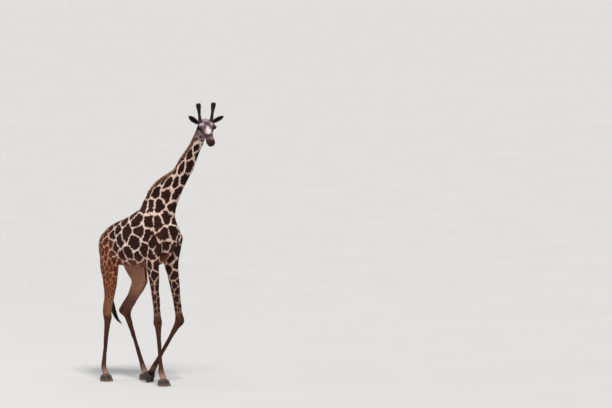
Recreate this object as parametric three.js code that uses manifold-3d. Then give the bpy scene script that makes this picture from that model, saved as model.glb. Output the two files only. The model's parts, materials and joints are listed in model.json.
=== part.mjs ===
// A life-size adult female Masai giraffe in mid walk, with its head turned to its right.
// Millimetres. +X is the way the body faces, +Y its left side, +Z up, and the floor is at z = 0.
// Below, x = 0 lies near the middle of the trunk; the whole model is centred over the origin at the end.
import * as THREE from "three";
import { mergeVertices } from "three/addons/utils/BufferGeometryUtils.js";
import Module from "manifold-3d";

const wasm = await Module();
wasm.setup();

// ---------- driving dimensions ----------

const GAP = 0.6; // clearance between neighbouring solids
const LEFT = new THREE.Vector3(0, 1, 0);
const UP = new THREE.Vector3(0, 0, 1);

const WITHERS_Z = 2700; // top of the shoulder hump
const CROUP_Z = 2300; // top of the back over the hips
const BELLY_Z = 1660; // underside of the belly
const TRUNK_REAR_X = -790;
const CHEST_X = 500;
const BELLY_HALF_WIDTH = 315;

const HEAD = { at: [1146, -84, 3752], yaw: -37, pitch: 37, roll: 3 }; // midpoint between the eyes, degrees
const HEAD_LENGTH_AHEAD = 350; // from the eyes to the nose, before its rounded end
const EYE_RADIUS = 27;
const EYE_AT = [14, 112, 6]; // left eye in the head's frame
const OSSICONE_LENGTH = 262;
const EAR_LENGTH = 204;
const LEFT_EAR_WAY = [-0.1, 0.86, 0.46]; // the left ear is held further out than the right one
const RIGHT_EAR_WAY = [-0.1, -0.74, 0.68];
const EAR_OPENING = [0.8, 0.12, 0.32]; // the way the left ear's bowl faces
const MANE_HEIGHTS = [40, 56, 50, 40, 40, 36, 34, 32, 26]; // from the withers up to the poll

const HOOF_HEIGHT = 92;
const HOOF_TOE = 98; // from the foot's axis forward to the toe
const CLAW_SPACING = 41; // from the middle of the foot to the middle of each claw
const PASTERN = { x: -42, z: 205 }; // fetlock in the frame of the foot
const CORONET = { x: 2, z: HOOF_HEIGHT - 4 }; // where the leg's line ends, just inside the hoof
const TOE_FLAT = 8; // how far a tipped toe is worn flat
const BULGE_FACETS = { round: 10, tall: 6 };
const EYE_FACETS = { round: 10, tall: 6 };

// Joints of each leg. `turn` is how far the leg is turned out from the body's line, and a foot's pitch
// how far its toe points down, in degrees.
const LEGS = {
  fore_right: {
    kind: "fore", turn: -5, top: [175, -150, 2470], shoulder: [315, -195, 2110], elbow: [265, -200, 1790],
    knee: [337, -182, 915], foot: { x: 430, y: -172, pitch: 0 },
  },
  fore_left: {
    kind: "fore", turn: 15, top: [195, 150, 2470], shoulder: [345, 192, 2100], elbow: [290, 205, 1780],
    knee: [443, 196, 918], foot: { x: -52, y: 62, pitch: 50 },
  },
  hind_right: {
    kind: "hind", turn: -10, top: [-540, -120, 2170], hip: [-535, -168, 1960], thigh: [-540, -190, 1690],
    stifle: [-520, -205, 1450], hock: [-562, -205, 935], foot: { x: -605, y: -200, pitch: 0 },
  },
  hind_left: {
    kind: "hind", turn: 20, top: [-530, 120, 2170], hip: [-475, 168, 1960], thigh: [-372, 200, 1690],
    stifle: [-325, 232, 1440], hock: [-572, 240, 975], foot: { x: -232, y: 245, pitch: 0 },
  },
};

// ---------- solids from geometry ----------

function solid(geometry, matrix = new THREE.Matrix4()) {
  const bare = new THREE.BufferGeometry();
  bare.setAttribute("position", geometry.getAttribute("position").clone());
  if (geometry.index) bare.setIndex(geometry.index.clone());
  bare.applyMatrix4(matrix);
  const merged = mergeVertices(bare, 1e-3);
  return new wasm.Manifold(new wasm.Mesh({
    numProp: 3,
    vertProperties: new Float32Array(merged.attributes.position.array),
    triVerts: new Uint32Array(merged.index.array),
  }));
}

function geometryOf(made) {
  const { numProp, vertProperties, triVerts } = made.getMesh();
  const positions = new Float32Array((vertProperties.length / numProp) * 3);
  for (let i = 0; i * numProp < vertProperties.length; i++)
    positions.set(vertProperties.subarray(i * numProp, i * numProp + 3), i * 3);
  const geometry = new THREE.BufferGeometry();
  geometry.setAttribute("position", new THREE.BufferAttribute(positions, 3));
  geometry.setIndex(new THREE.BufferAttribute(new Uint32Array(triVerts), 1));
  geometry.computeVertexNormals();
  return geometry;
}

const joined = (...parts) => parts.flat().reduce((a, b) => a.add(b));
const without = (body, ...tools) => tools.flat().reduce((a, b) => a.subtract(b), body);
const vector = (p) => new THREE.Vector3(...p);
const turnedOut = (v, degrees) => v.clone().applyAxisAngle(UP, THREE.MathUtils.degToRad(degrees));
const mixed = (a, b, t) => vector(a).lerp(vector(b), t).toArray();

// The side of a solid that lies beyond the plane through `point`, looking along `normal`.
function beyond(body, point, normal, gap = GAP / 2) {
  const n = vector(normal).normalize();
  return body.trimByPlane(n.toArray(), n.dot(vector(point)) + gap);
}

// Both sides of a thin plane cut: [the side the normal points to, the other].
function parted(body, point, normal) {
  const back = vector(normal).negate().toArray();
  return [beyond(body, point, normal), beyond(body, point, back)];
}

// A closed body through oval rings. A station is [x, y, z, up, down, side]: the ring's centre and its
// three half sizes. On a leg, whose line runs down, "up" is the front and "down" the back.
function loft(stations, options = {}) {
  const { sides = 20, steps = 2, power = 2, grow = 0, domes = [0, 0], lateral = LEFT, facing = null } = options;
  const curve = (pick) => new THREE.CatmullRomCurve3(stations.map(pick).map(vector));
  const centres = curve((s) => s.slice(0, 3));
  const sizes = curve((s) => s.slice(3, 6));
  const rounded = (v) => Math.sign(v) * Math.abs(v) ** (2 / power);
  const count = (stations.length - 1) * steps;
  const domeRings = 2;
  const rings = [];

  function addRing(u, scale, shift) {
    const along = facing ? facing.clone() : centres.getTangent(u);
    const across = lateral.clone().addScaledVector(along, -lateral.dot(along)).normalize();
    const over = along.clone().cross(across);
    const centre = centres.getPoint(u).addScaledVector(along, shift);
    const { x: up, y: down, z: side } = sizes.getPoint(u);
    rings.push(Array.from({ length: scale ? sides : 1 }, (_, j) => {
      const angle = (2 * Math.PI * j) / sides;
      const c = rounded(Math.cos(angle)) * (side + grow) * scale;
      const s = rounded(Math.sin(angle)) * ((Math.sin(angle) > 0 ? up : down) + grow) * scale;
      return centre.clone().addScaledVector(across, c).addScaledVector(over, s);
    }));
  }

  function addDome(u, depth, way) {
    const turns = Array.from({ length: depth ? domeRings : 1 }, (_, k) => (k + 1) / (depth ? domeRings : 1));
    for (const t of way < 0 ? turns.reverse() : turns) {
      const angle = (Math.PI / 2) * t;
      addRing(u, t < 1 ? Math.cos(angle) : 0, way * (depth * Math.sin(angle) + (depth || grow ? grow : 0)));
    }
  }

  addDome(0, domes[0], -1);
  for (let i = 0; i <= count; i++) addRing(i / count, 1, 0);
  addDome(1, domes[1], 1);

  const positions = rings.flat().flatMap((p) => p.toArray());
  const starts = rings.map((_, i) => rings.slice(0, i).reduce((sum, r) => sum + r.length, 0));
  const index = [];
  for (let i = 0; i + 1 < rings.length; i++)
    for (let j = 0; j < sides; j++) {
      const [here, next] = [rings[i], rings[i + 1]];
      const a = starts[i] + (j % here.length);
      const b = starts[i] + ((j + 1) % here.length);
      const c = starts[i + 1] + ((j + 1) % next.length);
      const d = starts[i + 1] + (j % next.length);
      if (a !== b) index.push(a, b, d);
      if (c !== d) index.push(b, c, d);
    }
  const geometry = new THREE.BufferGeometry();
  geometry.setAttribute("position", new THREE.Float32BufferAttribute(positions, 3));
  geometry.setIndex(index);
  return geometry;
}

// An ellipsoid round `at` with the given half sizes, turned about x, y and z by degrees.
function bulge(at, radii, turn = [0, 0, 0]) {
  const rotation = new THREE.Euler(...turn.map(THREE.MathUtils.degToRad));
  const matrix = new THREE.Matrix4().compose(
    vector(at), new THREE.Quaternion().setFromEuler(rotation), vector(radii));
  return solid(new THREE.SphereGeometry(1, BULGE_FACETS.round, BULGE_FACETS.tall), matrix);
}

// ---------- trunk ----------

// Station of the trunk from its heights: top, level of its greatest width, and bottom.
const rib = (x, top, mid, bottom, side) => [x, 0, mid, top - mid, mid - bottom, side];

const TRUNK = [
  rib(TRUNK_REAR_X, 2095, 1970, 1860, 105),
  rib(-710, CROUP_Z - 95, 1970, 1755, 195),
  rib(-560, CROUP_Z, 2000, 1700, 250),
  rib(-380, CROUP_Z + 75, 2010, BELLY_Z + 10, 285),
  rib(-190, CROUP_Z + 165, 2030, BELLY_Z, BELLY_HALF_WIDTH),
  rib(-10, WITHERS_Z - 120, 2070, BELLY_Z + 5, BELLY_HALF_WIDTH - 5),
  rib(140, WITHERS_Z - 15, 2120, BELLY_Z + 30, 280),
  rib(280, WITHERS_Z - 10, 2190, BELLY_Z + 85, 245),
  rib(400, WITHERS_Z - 180, 2220, BELLY_Z + 200, 188),
  rib(CHEST_X, 2350, 2200, 2020, 106),
];
const trunkLoft = (grow = 0) =>
  solid(loft(TRUNK, { sides: 18, steps: 1, power: 2.15, domes: [50, 45], facing: new THREE.Vector3(1, 0, 0), grow }));

// ---------- neck ----------

const NECK = [
  [95, 0, 2400, 226, 370, 195],
  [205, 0, 2590, 228, 332, 172],
  [352, 0, 2785, 186, 250, 146],
  [490, 0, 2938, 126, 196, 128],
  [585, 0, 3039, 94, 168, 116],
  [715, 0, 3180, 118, 132, 102],
  [900, -4, 3415, 112, 62, 78],
  [1010, -20, 3575, 116, 48, 72],
  [1070, -40, 3685, 110, 46, 72],
  [1102, -58, 3778, 98, 40, 60],
];
const neckLoft = (grow = 0) => solid(loft(NECK, { sides: 18, steps: 1, domes: [0, 26], grow }));

// ---------- head ----------

const headMatrix = new THREE.Matrix4().compose(
  vector(HEAD.at),
  new THREE.Quaternion().setFromEuler(
    new THREE.Euler(...[HEAD.roll, HEAD.pitch, HEAD.yaw].map(THREE.MathUtils.degToRad), "ZYX")),
  new THREE.Vector3(1, 1, 1));
const inHead = (made) => made.transform(headMatrix.toArray());
const mirrored = ([x, y, z], side) => [x, y * side, z];

const SKULL = [
  [-136, 0, 6, 44, 60, 56],
  [-102, 0, 8, 66, 80, 82],
  [-60, 0, 6, 78, 82, 97],
  [0, 0, 4, 74, 72, 100],
  [60, 0, 0, 62, 58, 90],
  [130, 0, -5, 50, 46, 72],
  [205, 0, -9, 43, 39, 62],
  [270, 0, -13, 42, 36, 67],
  [320, 0, -19, 39, 33, 64],
  [HEAD_LENGTH_AHEAD, 0, -27, 28, 27, 46],
];
const LOWER_JAW = [
  [-112, 0, -60, 40, 58, 48],
  [-50, 0, -66, 30, 68, 54],
  [40, 0, -62, 25, 60, 50],
  [130, 0, -55, 20, 44, 42],
  [220, 0, -51, 16, 34, 40],
  [290, 0, -55, 16, 31, 45],
  [326, 0, -55, 13, 22, 31],
];
// The skin that spans from one jaw to the other behind the corners of the mouth.
const CHEEKS = [
  [-96, 0, -46, 40, 58, 58],
  [-20, 0, -48, 44, 64, 65],
  [60, 0, -46, 38, 54, 60],
  [130, 0, -40, 27, 42, 52],
  [176, 0, -37, 17, 30, 44],
];
const BOTH = [1, -1];

function headSolid(grow = 0) {
  const lump = (at, radii, turn) => bulge(at, radii.map((r) => r + grow), turn);
  const skull = solid(loft(SKULL, { sides: 14, steps: 1, domes: [26, 16], power: 2.15, grow }));
  const jaw = solid(loft(LOWER_JAW, { sides: 10, steps: 1, domes: [20, 10], power: 2.2, grow }));
  const cheeks = solid(loft(CHEEKS, { sides: 10, steps: 1, domes: [20, 14], power: 2.2, grow }));
  const paired = BOTH.flatMap((side) => [
    lump(mirrored([6, 101, 14], side), [58, 40, 40], [0, 0, -8 * side]), // orbit
    lump(mirrored([-6, 56, 36], side), [78, 52, 38]), // temple
    lump(mirrored([-52, 60, -44], side), [76, 32, 52]), // jaw muscle
  ]);
  const forehead = lump([10, 0, 58], [92, 60, 24], [0, 8, 0]);
  return joined(skull, jaw, cheeks, forehead, paired);
}

// Radii along a horn, from its root to its tufted top.
const OSSICONE_RADII = [[0, 36], [0.2, 27], [0.42, 24], [0.66, 30], [0.88, 38], [1, 35]];

function ossicone(side, grow = 0) {
  const root = vector(mirrored([-66, 82, 52], side));
  const way = vector(mirrored([-0.4, 0.11, 0.9], side)).normalize();
  const stations = OSSICONE_RADII.map(([t, r]) => [
    ...root.clone().addScaledVector(way, t * OSSICONE_LENGTH).toArray(), r, r, r]);
  return solid(loft(stations, { sides: 10, steps: 1, domes: [0, 24], grow }));
}

// [share of the length, half depth, half width], and the shell's thickness.
const EAR_PROFILE = [[0, 17, 19], [0.18, 22, 31], [0.42, 22, 43], [0.66, 18, 41], [0.86, 11, 27], [1, 4, 7]];
const EAR_WALL = 7;

function ear(side, grow = 0) {
  const root = vector(mirrored([-100, 98, -4], side));
  const way = vector(side > 0 ? LEFT_EAR_WAY : RIGHT_EAR_WAY).normalize();
  const opening = vector(mirrored(EAR_OPENING, side));
  const lateral = opening.clone().cross(way);
  const shell = EAR_PROFILE.map(([t, deep, wide]) =>
    [...root.clone().addScaledVector(way, t * EAR_LENGTH).toArray(), deep, deep, wide]);
  const outer = solid(loft(shell, { sides: 8, steps: 1, domes: [0, 5], lateral, grow }));
  if (grow) return outer;
  const face = opening.clone().addScaledVector(way, -opening.dot(way)).normalize();
  const bowl = EAR_PROFILE.slice(1).map(([t, deep, wide]) =>
    [...root.clone().addScaledVector(way, t * EAR_LENGTH).addScaledVector(face, deep).toArray(),
      deep * 2 - EAR_WALL, deep * 2 - EAR_WALL, Math.max(wide - EAR_WALL, 1)]);
  return without(outer, solid(loft(bowl, { sides: 8, steps: 1, domes: [8, 0], lateral })));
}

function eye(side, grow = 0) {
  const matrix = new THREE.Matrix4().makeTranslation(...mirrored(EYE_AT, side));
  return solid(new THREE.SphereGeometry(EYE_RADIUS + grow, EYE_FACETS.round, EYE_FACETS.tall), matrix);
}

// ---------- legs ----------

// Half sizes along each leg: share of the way between two joints, front, back and side.
const FORE = {
  upper: [["top", 95, 115, 50], ["shoulder", 142, 170, 84], ["elbow", 110, 136, 76]],
  shaft: [[0.22, 90, 104, 66], [0.5, 70, 78, 56], [0.8, 60, 64, 51], [1, 66, 62, 54]],
  joint: [74, 62, 96],
  cannon: [
    [0, 64, 60, 54], [0.12, 56, 56, 47], [0.28, 42, 45, 36], [0.6, 36, 41, 32], [0.88, 39, 45, 36], [1, 46, 52, 43],
  ],
};
const HIND = {
  upper: [["top", 150, 130, 60], ["hip", 215, 195, 98], ["thigh", 172, 184, 104], ["stifle", 132, 126, 88]],
  shaft: [[0.3, 108, 98, 70], [0.6, 84, 80, 56], [0.85, 70, 74, 50], [1, 70, 72, 52]],
  joint: [74, 58, 88],
  cannon: [
    [0, 62, 64, 52], [0.14, 54, 58, 45], [0.3, 42, 48, 37], [0.6, 37, 43, 33], [0.88, 40, 46, 36], [1, 46, 54, 43],
  ],
};
const FETLOCK_RADII = [50, 43, 50];
const PASTERN_SIZES = [[0, 46, 52, 44], [0.4, 42, 44, 46], [0.8, 50, 50, 62], [1, 54, 54, 70]];

// The frame of a foot: origin in the middle of its sole, tipped about the toe so that the toe meets the floor.
function footMatrix({ x, y, pitch }) {
  const angle = THREE.MathUtils.degToRad(pitch);
  const rise = pitch ? HOOF_TOE * Math.sin(angle) - TOE_FLAT : 0;
  return new THREE.Matrix4().makeRotationY(angle).setPosition(x, y, rise);
}

function legSolid({ knee, hock, foot, kind, turn, ...joints }, grow = 0) {
  const shape = kind === "fore" ? FORE : HIND;
  const middle = knee ?? hock;
  const inFoot = (x, z) => new THREE.Vector3(x, 0, z).applyMatrix4(footMatrix(foot)).toArray();
  const fetlock = inFoot(PASTERN.x, PASTERN.z);
  const coronet = inFoot(CORONET.x, CORONET.z);
  const last = joints[shape.upper.at(-1)[0]];
  const span = (a, b, rows) => rows.map(([t, ...sizes]) => [...mixed(a, b, t), ...sizes]);

  const upper = [
    ...shape.upper.map(([name, ...sizes]) => [...joints[name], ...sizes]),
    ...span(last, middle, shape.shaft),
  ];
  const lean = THREE.MathUtils.radToDeg(Math.atan2(middle[0] - fetlock[0], middle[2] - fetlock[2]));
  const lateral = turnedOut(LEFT, turn);
  const parts = [
    solid(loft(upper, { sides: 12, steps: 1, grow, lateral })),
    bulge(middle, shape.joint.map((r) => r + grow), [0, lean / 2, turn]),
    solid(loft(span(middle, fetlock, shape.cannon), { sides: 10, steps: 1, grow })),
    bulge(fetlock, FETLOCK_RADII.map((r) => r + grow)),
    solid(loft(span(fetlock, coronet, PASTERN_SIZES), { sides: 10, steps: 1, grow })),
  ];
  if (kind === "hind") parts.push(heel(middle, lean, turn, last, grow));
  return joined(parts);
}

// The point of the hock, with the tendon that runs up to it. Offsets [x, z] are from the hock, and those of
// the tendon's top from the stifle.
const HEEL = { point: [-94, 52], low: [-34, -70], tendonTop: [-70, -60] };

function heel(hock, lean, turn, stifle, grow) {
  const placed = ([x, z]) => {
    const offset = new THREE.Vector3(x, 0, z).applyAxisAngle(LEFT, THREE.MathUtils.degToRad(lean));
    return turnedOut(offset, turn).add(vector(hock)).toArray();
  };
  const [x, z] = HEEL.tendonTop;
  const back = turnedOut(new THREE.Vector3(x, 0, z), turn).add(vector(stifle)).toArray();
  const point = placed(HEEL.point);
  const stations = [
    [...mixed(point, back, 0.55), 26, 22, 22],
    [...point, 34, 20, 28],
    [...placed(HEEL.low), 34, 22, 30],
  ];
  return solid(loft(stations, { sides: 8, steps: 1, domes: [12, 12], grow }));
}

// One claw of a cloven hoof in the foot's frame. Its rings lie flat, so "up" is its heel and "down" its toe.
const CLAW_RINGS = [ // [height, heel, how far the front falls back from the toe, half width]
  [0, 66, 0, 37], [30, 68, 12, 38], [62, 64, 32, 38], [HOOF_HEIGHT, 56, 50, 36],
];

function claw(foot, side) {
  const y = side * CLAW_SPACING;
  const stations = CLAW_RINGS.map(([z, heelSize, slope, half]) => [0, y, z, heelSize, HOOF_TOE - slope, half]);
  const made = solid(loft(stations, { sides: 10, steps: 1, power: 2.3 })).transform(footMatrix(foot).toArray());
  return beyond(made, [0, 0, 0], [0, 0, 1], 0);
}

// ---------- tail and mane ----------

const TAIL = [
  [-700, 0, 2120, 45, 45, 42],
  [-800, 0, 2085, 48, 44, 44],
  [-868, 12, 1980, 36, 34, 34],
  [-892, 50, 1760, 27, 27, 26],
  [-888, 130, 1450, 22, 22, 22],
  [-862, 205, 1230, 19, 19, 19],
];
const TAIL_HAIR = [
  [-862, 205, 1230, 20, 20, 20],
  [-848, 240, 1120, 30, 30, 30],
  [-838, 262, 1020, 38, 36, 36],
  [-830, 290, 925, 36, 34, 34],
  [-822, 350, 835, 26, 24, 24],
  [-808, 460, 745, 9, 9, 9],
];

// The mane stands as a thin fin on the ridge of the neck. It shares the neck's line.
const MANE = { root: 25, halfWidth: 15 };

function maneSolid() {
  const ridge = MANE_HEIGHTS.map((height, i) => {
    const [x, y, z, up] = NECK[i + 1];
    return [x, y, z, up + height, -(up - MANE.root), MANE.halfWidth];
  });
  const fin = solid(loft(ridge, { sides: 6, steps: 1 }));
  return without(fin, neckLoft(GAP), trunkLoft(GAP), inHead(headSolid(2 * GAP)));
}

// ---------- assembly ----------

// The planes that part the flesh into nodes.
const NAPE = { point: [1040, -24, 3600], normal: [0.6, -0.2, 0.77] };
const WITHERS = { point: [205, 0, 2590], normal: [0.58, 0, 0.81] };
const TAIL_ROOT = { point: [TRUNK_REAR_X - 34, 0, 0], normal: [-1, 0, 0] };

function giraffeSolids() {
  const nodes = {};
  const legsGrown = Object.values(LEGS).map((leg) => legSolid(leg, GAP));

  const hornsEarsEyes = BOTH.flatMap((side) => [ossicone(side, GAP), ear(side, GAP), eye(side, GAP)]);
  const neck = without(neckLoft(), inHead(joined(hornsEarsEyes)));
  const headAndNeck = joined(inHead(without(headSolid(), hornsEarsEyes)), neck);
  const [head, below] = parted(headAndNeck, NAPE.point, NAPE.normal);
  nodes.head = head;

  const tail = solid(loft(TAIL, { sides: 8, steps: 1 }));
  const body = without(joined(below, trunkLoft(), tail), legsGrown);
  const [tailPart, rest] = parted(body, TAIL_ROOT.point, TAIL_ROOT.normal);
  nodes.tail = tailPart;
  [nodes.neck, nodes.trunk] = parted(rest, WITHERS.point, WITHERS.normal);

  const hair = solid(loft(TAIL_HAIR, { sides: 8, steps: 1, domes: [0, 8] }));
  const [a, b] = [TAIL.at(-2), TAIL.at(-1)].map((s) => vector(s.slice(0, 3)));
  nodes.tail_tuft = beyond(hair, b.toArray(), b.clone().sub(a).toArray(), GAP);
  nodes.mane = maneSolid();

  for (const [side, name] of [[1, "left"], [-1, "right"]]) {
    nodes["ossicone_" + name] = inHead(ossicone(side));
    nodes["ear_" + name] = inHead(without(ear(side), ossicone(side, GAP)));
    nodes["eye_" + name] = inHead(eye(side));
  }

  for (const [name, leg] of Object.entries(LEGS)) {
    const middle = leg.knee ?? leg.hock;
    const onFoot = (x, z) => new THREE.Vector3(x, 0, z).applyMatrix4(footMatrix(leg.foot));
    const up = onFoot(0, 1).sub(onFoot(0, 0)).toArray();
    const limb = beyond(legSolid(leg), onFoot(0, HOOF_HEIGHT).toArray(), up, GAP);
    [nodes[name + "_upper"], nodes[name + "_lower"]] = parted(limb, middle, [0, 0, 1]);
    nodes[name + "_claw_outer"] = claw(leg.foot, Math.sign(middle[1]));
    nodes[name + "_claw_inner"] = claw(leg.foot, -Math.sign(middle[1]));
  }
  return nodes;
}

const finish = (color, roughness) => new THREE.MeshStandardMaterial({ color, roughness, metalness: 0 });
const FINISHES = {
  coat: finish(0x6b4632, 0.8),
  hoof: finish(0x3a2e28, 0.55),
  hair: finish(0x241814, 0.75),
  mane: finish(0x6a3a20, 0.8),
  eye: finish(0x0c0806, 0.1),
};
const finishOf = (name) => FINISHES[
  name.includes("claw") ? "hoof"
    : name.startsWith("eye") ? "eye"
      : name === "tail_tuft" || name.startsWith("ossicone") ? "hair"
        : name === "mane" ? "mane" : "coat"];

const giraffe = new THREE.Group();
for (const [name, made] of Object.entries(giraffeSolids())) {
  const mesh = new THREE.Mesh(geometryOf(made), finishOf(name));
  mesh.name = name;
  giraffe.add(mesh);
}

// Centre the footprint of the whole model over the origin, with the soles at z = 0.
const outline = new THREE.Box3().setFromObject(giraffe);
const middle = outline.getCenter(new THREE.Vector3());
giraffe.position.set(-middle.x, -middle.y, -outline.min.z);

export default giraffe;
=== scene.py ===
"""A life-size adult Masai giraffe, a cow in mid walk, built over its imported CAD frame.

Sizes are in millimetres in the body's own frame: x forward, y to the animal's left, z up, with the
floor at z = 0. SHIFT takes them to the metres of the frame that all pieces stand in. Angles are in
degrees, colours written as srgb(...) are 0 to 255, and those given as shares of one are linear.
"""

import json
import math

import bmesh
import bpy
import numpy as np
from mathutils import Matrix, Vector
from mathutils.bvhtree import BVHTree
from mathutils.kdtree import KDTree

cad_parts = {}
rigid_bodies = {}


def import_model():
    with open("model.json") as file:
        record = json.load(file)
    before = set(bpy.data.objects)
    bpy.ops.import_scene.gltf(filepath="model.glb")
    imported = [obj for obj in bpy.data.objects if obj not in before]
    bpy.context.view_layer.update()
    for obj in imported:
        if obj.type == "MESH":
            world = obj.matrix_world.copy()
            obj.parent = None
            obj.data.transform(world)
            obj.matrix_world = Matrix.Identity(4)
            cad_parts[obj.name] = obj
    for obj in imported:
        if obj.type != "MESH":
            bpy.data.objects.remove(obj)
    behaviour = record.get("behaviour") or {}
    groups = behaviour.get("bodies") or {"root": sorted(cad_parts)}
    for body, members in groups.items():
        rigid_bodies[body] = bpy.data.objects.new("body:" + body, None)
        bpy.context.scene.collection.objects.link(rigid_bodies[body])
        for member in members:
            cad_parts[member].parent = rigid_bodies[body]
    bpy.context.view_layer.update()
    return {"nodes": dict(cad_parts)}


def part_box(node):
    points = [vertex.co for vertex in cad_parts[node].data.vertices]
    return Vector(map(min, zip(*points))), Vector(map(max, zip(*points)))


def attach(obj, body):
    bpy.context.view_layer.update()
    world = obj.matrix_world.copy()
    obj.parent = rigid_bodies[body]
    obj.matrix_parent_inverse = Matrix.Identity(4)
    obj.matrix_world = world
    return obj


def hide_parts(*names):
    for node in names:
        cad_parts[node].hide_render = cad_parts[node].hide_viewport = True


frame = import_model()
CAD = frame["nodes"]

X, Y, Z = np.eye(3)
SIDES = {"left": 1, "right": -1}
LEGS = ("fore_right", "fore_left", "hind_right", "hind_left")


def middle_of(node):
    low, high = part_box(node)
    return (np.array(low) + np.array(high)) / 2


def turned(angle, axis):
    """Rotation matrix by an angle about the x, y or z axis."""
    c, s = math.cos(math.radians(angle)), math.sin(math.radians(angle))
    i, j = [(1, 2), (2, 0), (0, 1)][axis]
    m = np.eye(3)
    m[i, i] = m[j, j] = c
    m[i, j], m[j, i] = -s, s
    return m


def unit(v):
    v = np.asarray(v, float)
    return v / np.maximum(np.linalg.norm(v, axis=-1, keepdims=True), 1e-9)


def smoothstep(x, low, high):
    """0 below low and 1 above high, with a soft change between."""
    t = np.clip((x - low) / (high - low), 0, 1)
    return t * t * (3 - 2 * t)


def mixed(a, b, t):
    return np.asarray(a, float) + (np.asarray(b, float) - np.asarray(a, float)) * t


def blended(base, colour, share):
    """Colours moved towards another, each point by its own share."""
    return base + (np.asarray(colour) - base) * np.clip(share, 0, 1)[:, None]


def srgb(r, g, b):
    """A linear colour from sRGB values."""
    c = np.array([r, g, b]) / 255
    return np.where(c < 0.04045, c / 12.92, ((c + 0.055) / 1.055) ** 2.4)


# ---------- the head's frame and the place of the body ----------

HEAD_AT = np.array([1146.0, -84, 3752])
HEAD_TURN = turned(-37, 2) @ turned(37, 1) @ turned(3, 0)
EYE_AT = np.array([14.0, 112, 6])
EYE_RADIUS = 27.0
SHIFT = middle_of("eye_left") - (HEAD_AT + HEAD_TURN @ EYE_AT) / 1000


def to_scene(p):
    return np.asarray(p, float) / 1000 + SHIFT


def from_head(p):
    return HEAD_AT + np.asarray(p, float) @ HEAD_TURN.T


def to_head(p):
    return (np.asarray(p, float) - HEAD_AT) @ HEAD_TURN


def mirrored(p, side):
    return np.asarray(p, float) * [1, side, 1]


EYES = [from_head(mirrored(EYE_AT, side)) for side in (1, -1)]


# ---------- rounded bodies ----------

def catmull(points, u):
    """Points at the shares u of a centripetal Catmull-Rom curve."""
    p = np.asarray(points, float)
    n = len(p)
    p = np.vstack([2 * p[0] - p[1], p, 2 * p[-1] - p[-2]])
    i = np.clip((u * (n - 1)).astype(int), 0, n - 2)
    w = (u * (n - 1) - i)[:, None]
    p0, p1, p2, p3 = p[i], p[i + 1], p[i + 2], p[i + 3]
    pairs = ((p0, p1), (p1, p2), (p2, p3))
    d0, d1, d2 = (np.linalg.norm(b - a, axis=1, keepdims=True) ** 0.5 for a, b in pairs)
    d1 = np.where(d1 < 1e-4, 1, d1)
    d0, d2 = np.where(d0 < 1e-4, d1, d0), np.where(d2 < 1e-4, d1, d2)
    t1 = ((p1 - p0) / d0 - (p2 - p0) / (d0 + d1) + (p2 - p1) / d1) * d1
    t2 = ((p2 - p1) / d1 - (p3 - p1) / (d1 + d2) + (p3 - p2) / d2) * d1
    return p1 + w * (t1 + w * (3 * (p2 - p1) - 2 * t1 - t2 + w * (2 * (p1 - p2) + t1 + t2)))


def tube_faces(rings, sides, flipped=False):
    """Triangles between the neighbouring rings of a tube."""
    j = np.arange(sides)
    k = (j + 1) % sides
    start = np.arange(rings - 1)[:, None] * sides
    a, b, c, d = start + j, start + k, start + sides + k, start + sides + j
    halves = ((a, d, b), (b, d, c)) if flipped else ((a, b, d), (b, c, d))
    return np.concatenate([np.stack(half, -1).reshape(-1, 3) for half in halves])


def joined(parts):
    """Several (vertices, triangles) as one."""
    verts, tris, start = [], [], 0
    for v, t in parts:
        verts.append(v)
        tris.append(t + start)
        start += len(v)
    return np.vstack(verts), np.vstack(tris)


def outward(verts, tris):
    """The triangles of a closed body, turned so that they face out."""
    a, b, c = (verts[tris[:, i]] - verts.mean(0) for i in range(3))
    return tris if (a * np.cross(b, c)).sum() > 0 else tris[:, ::-1]


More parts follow.
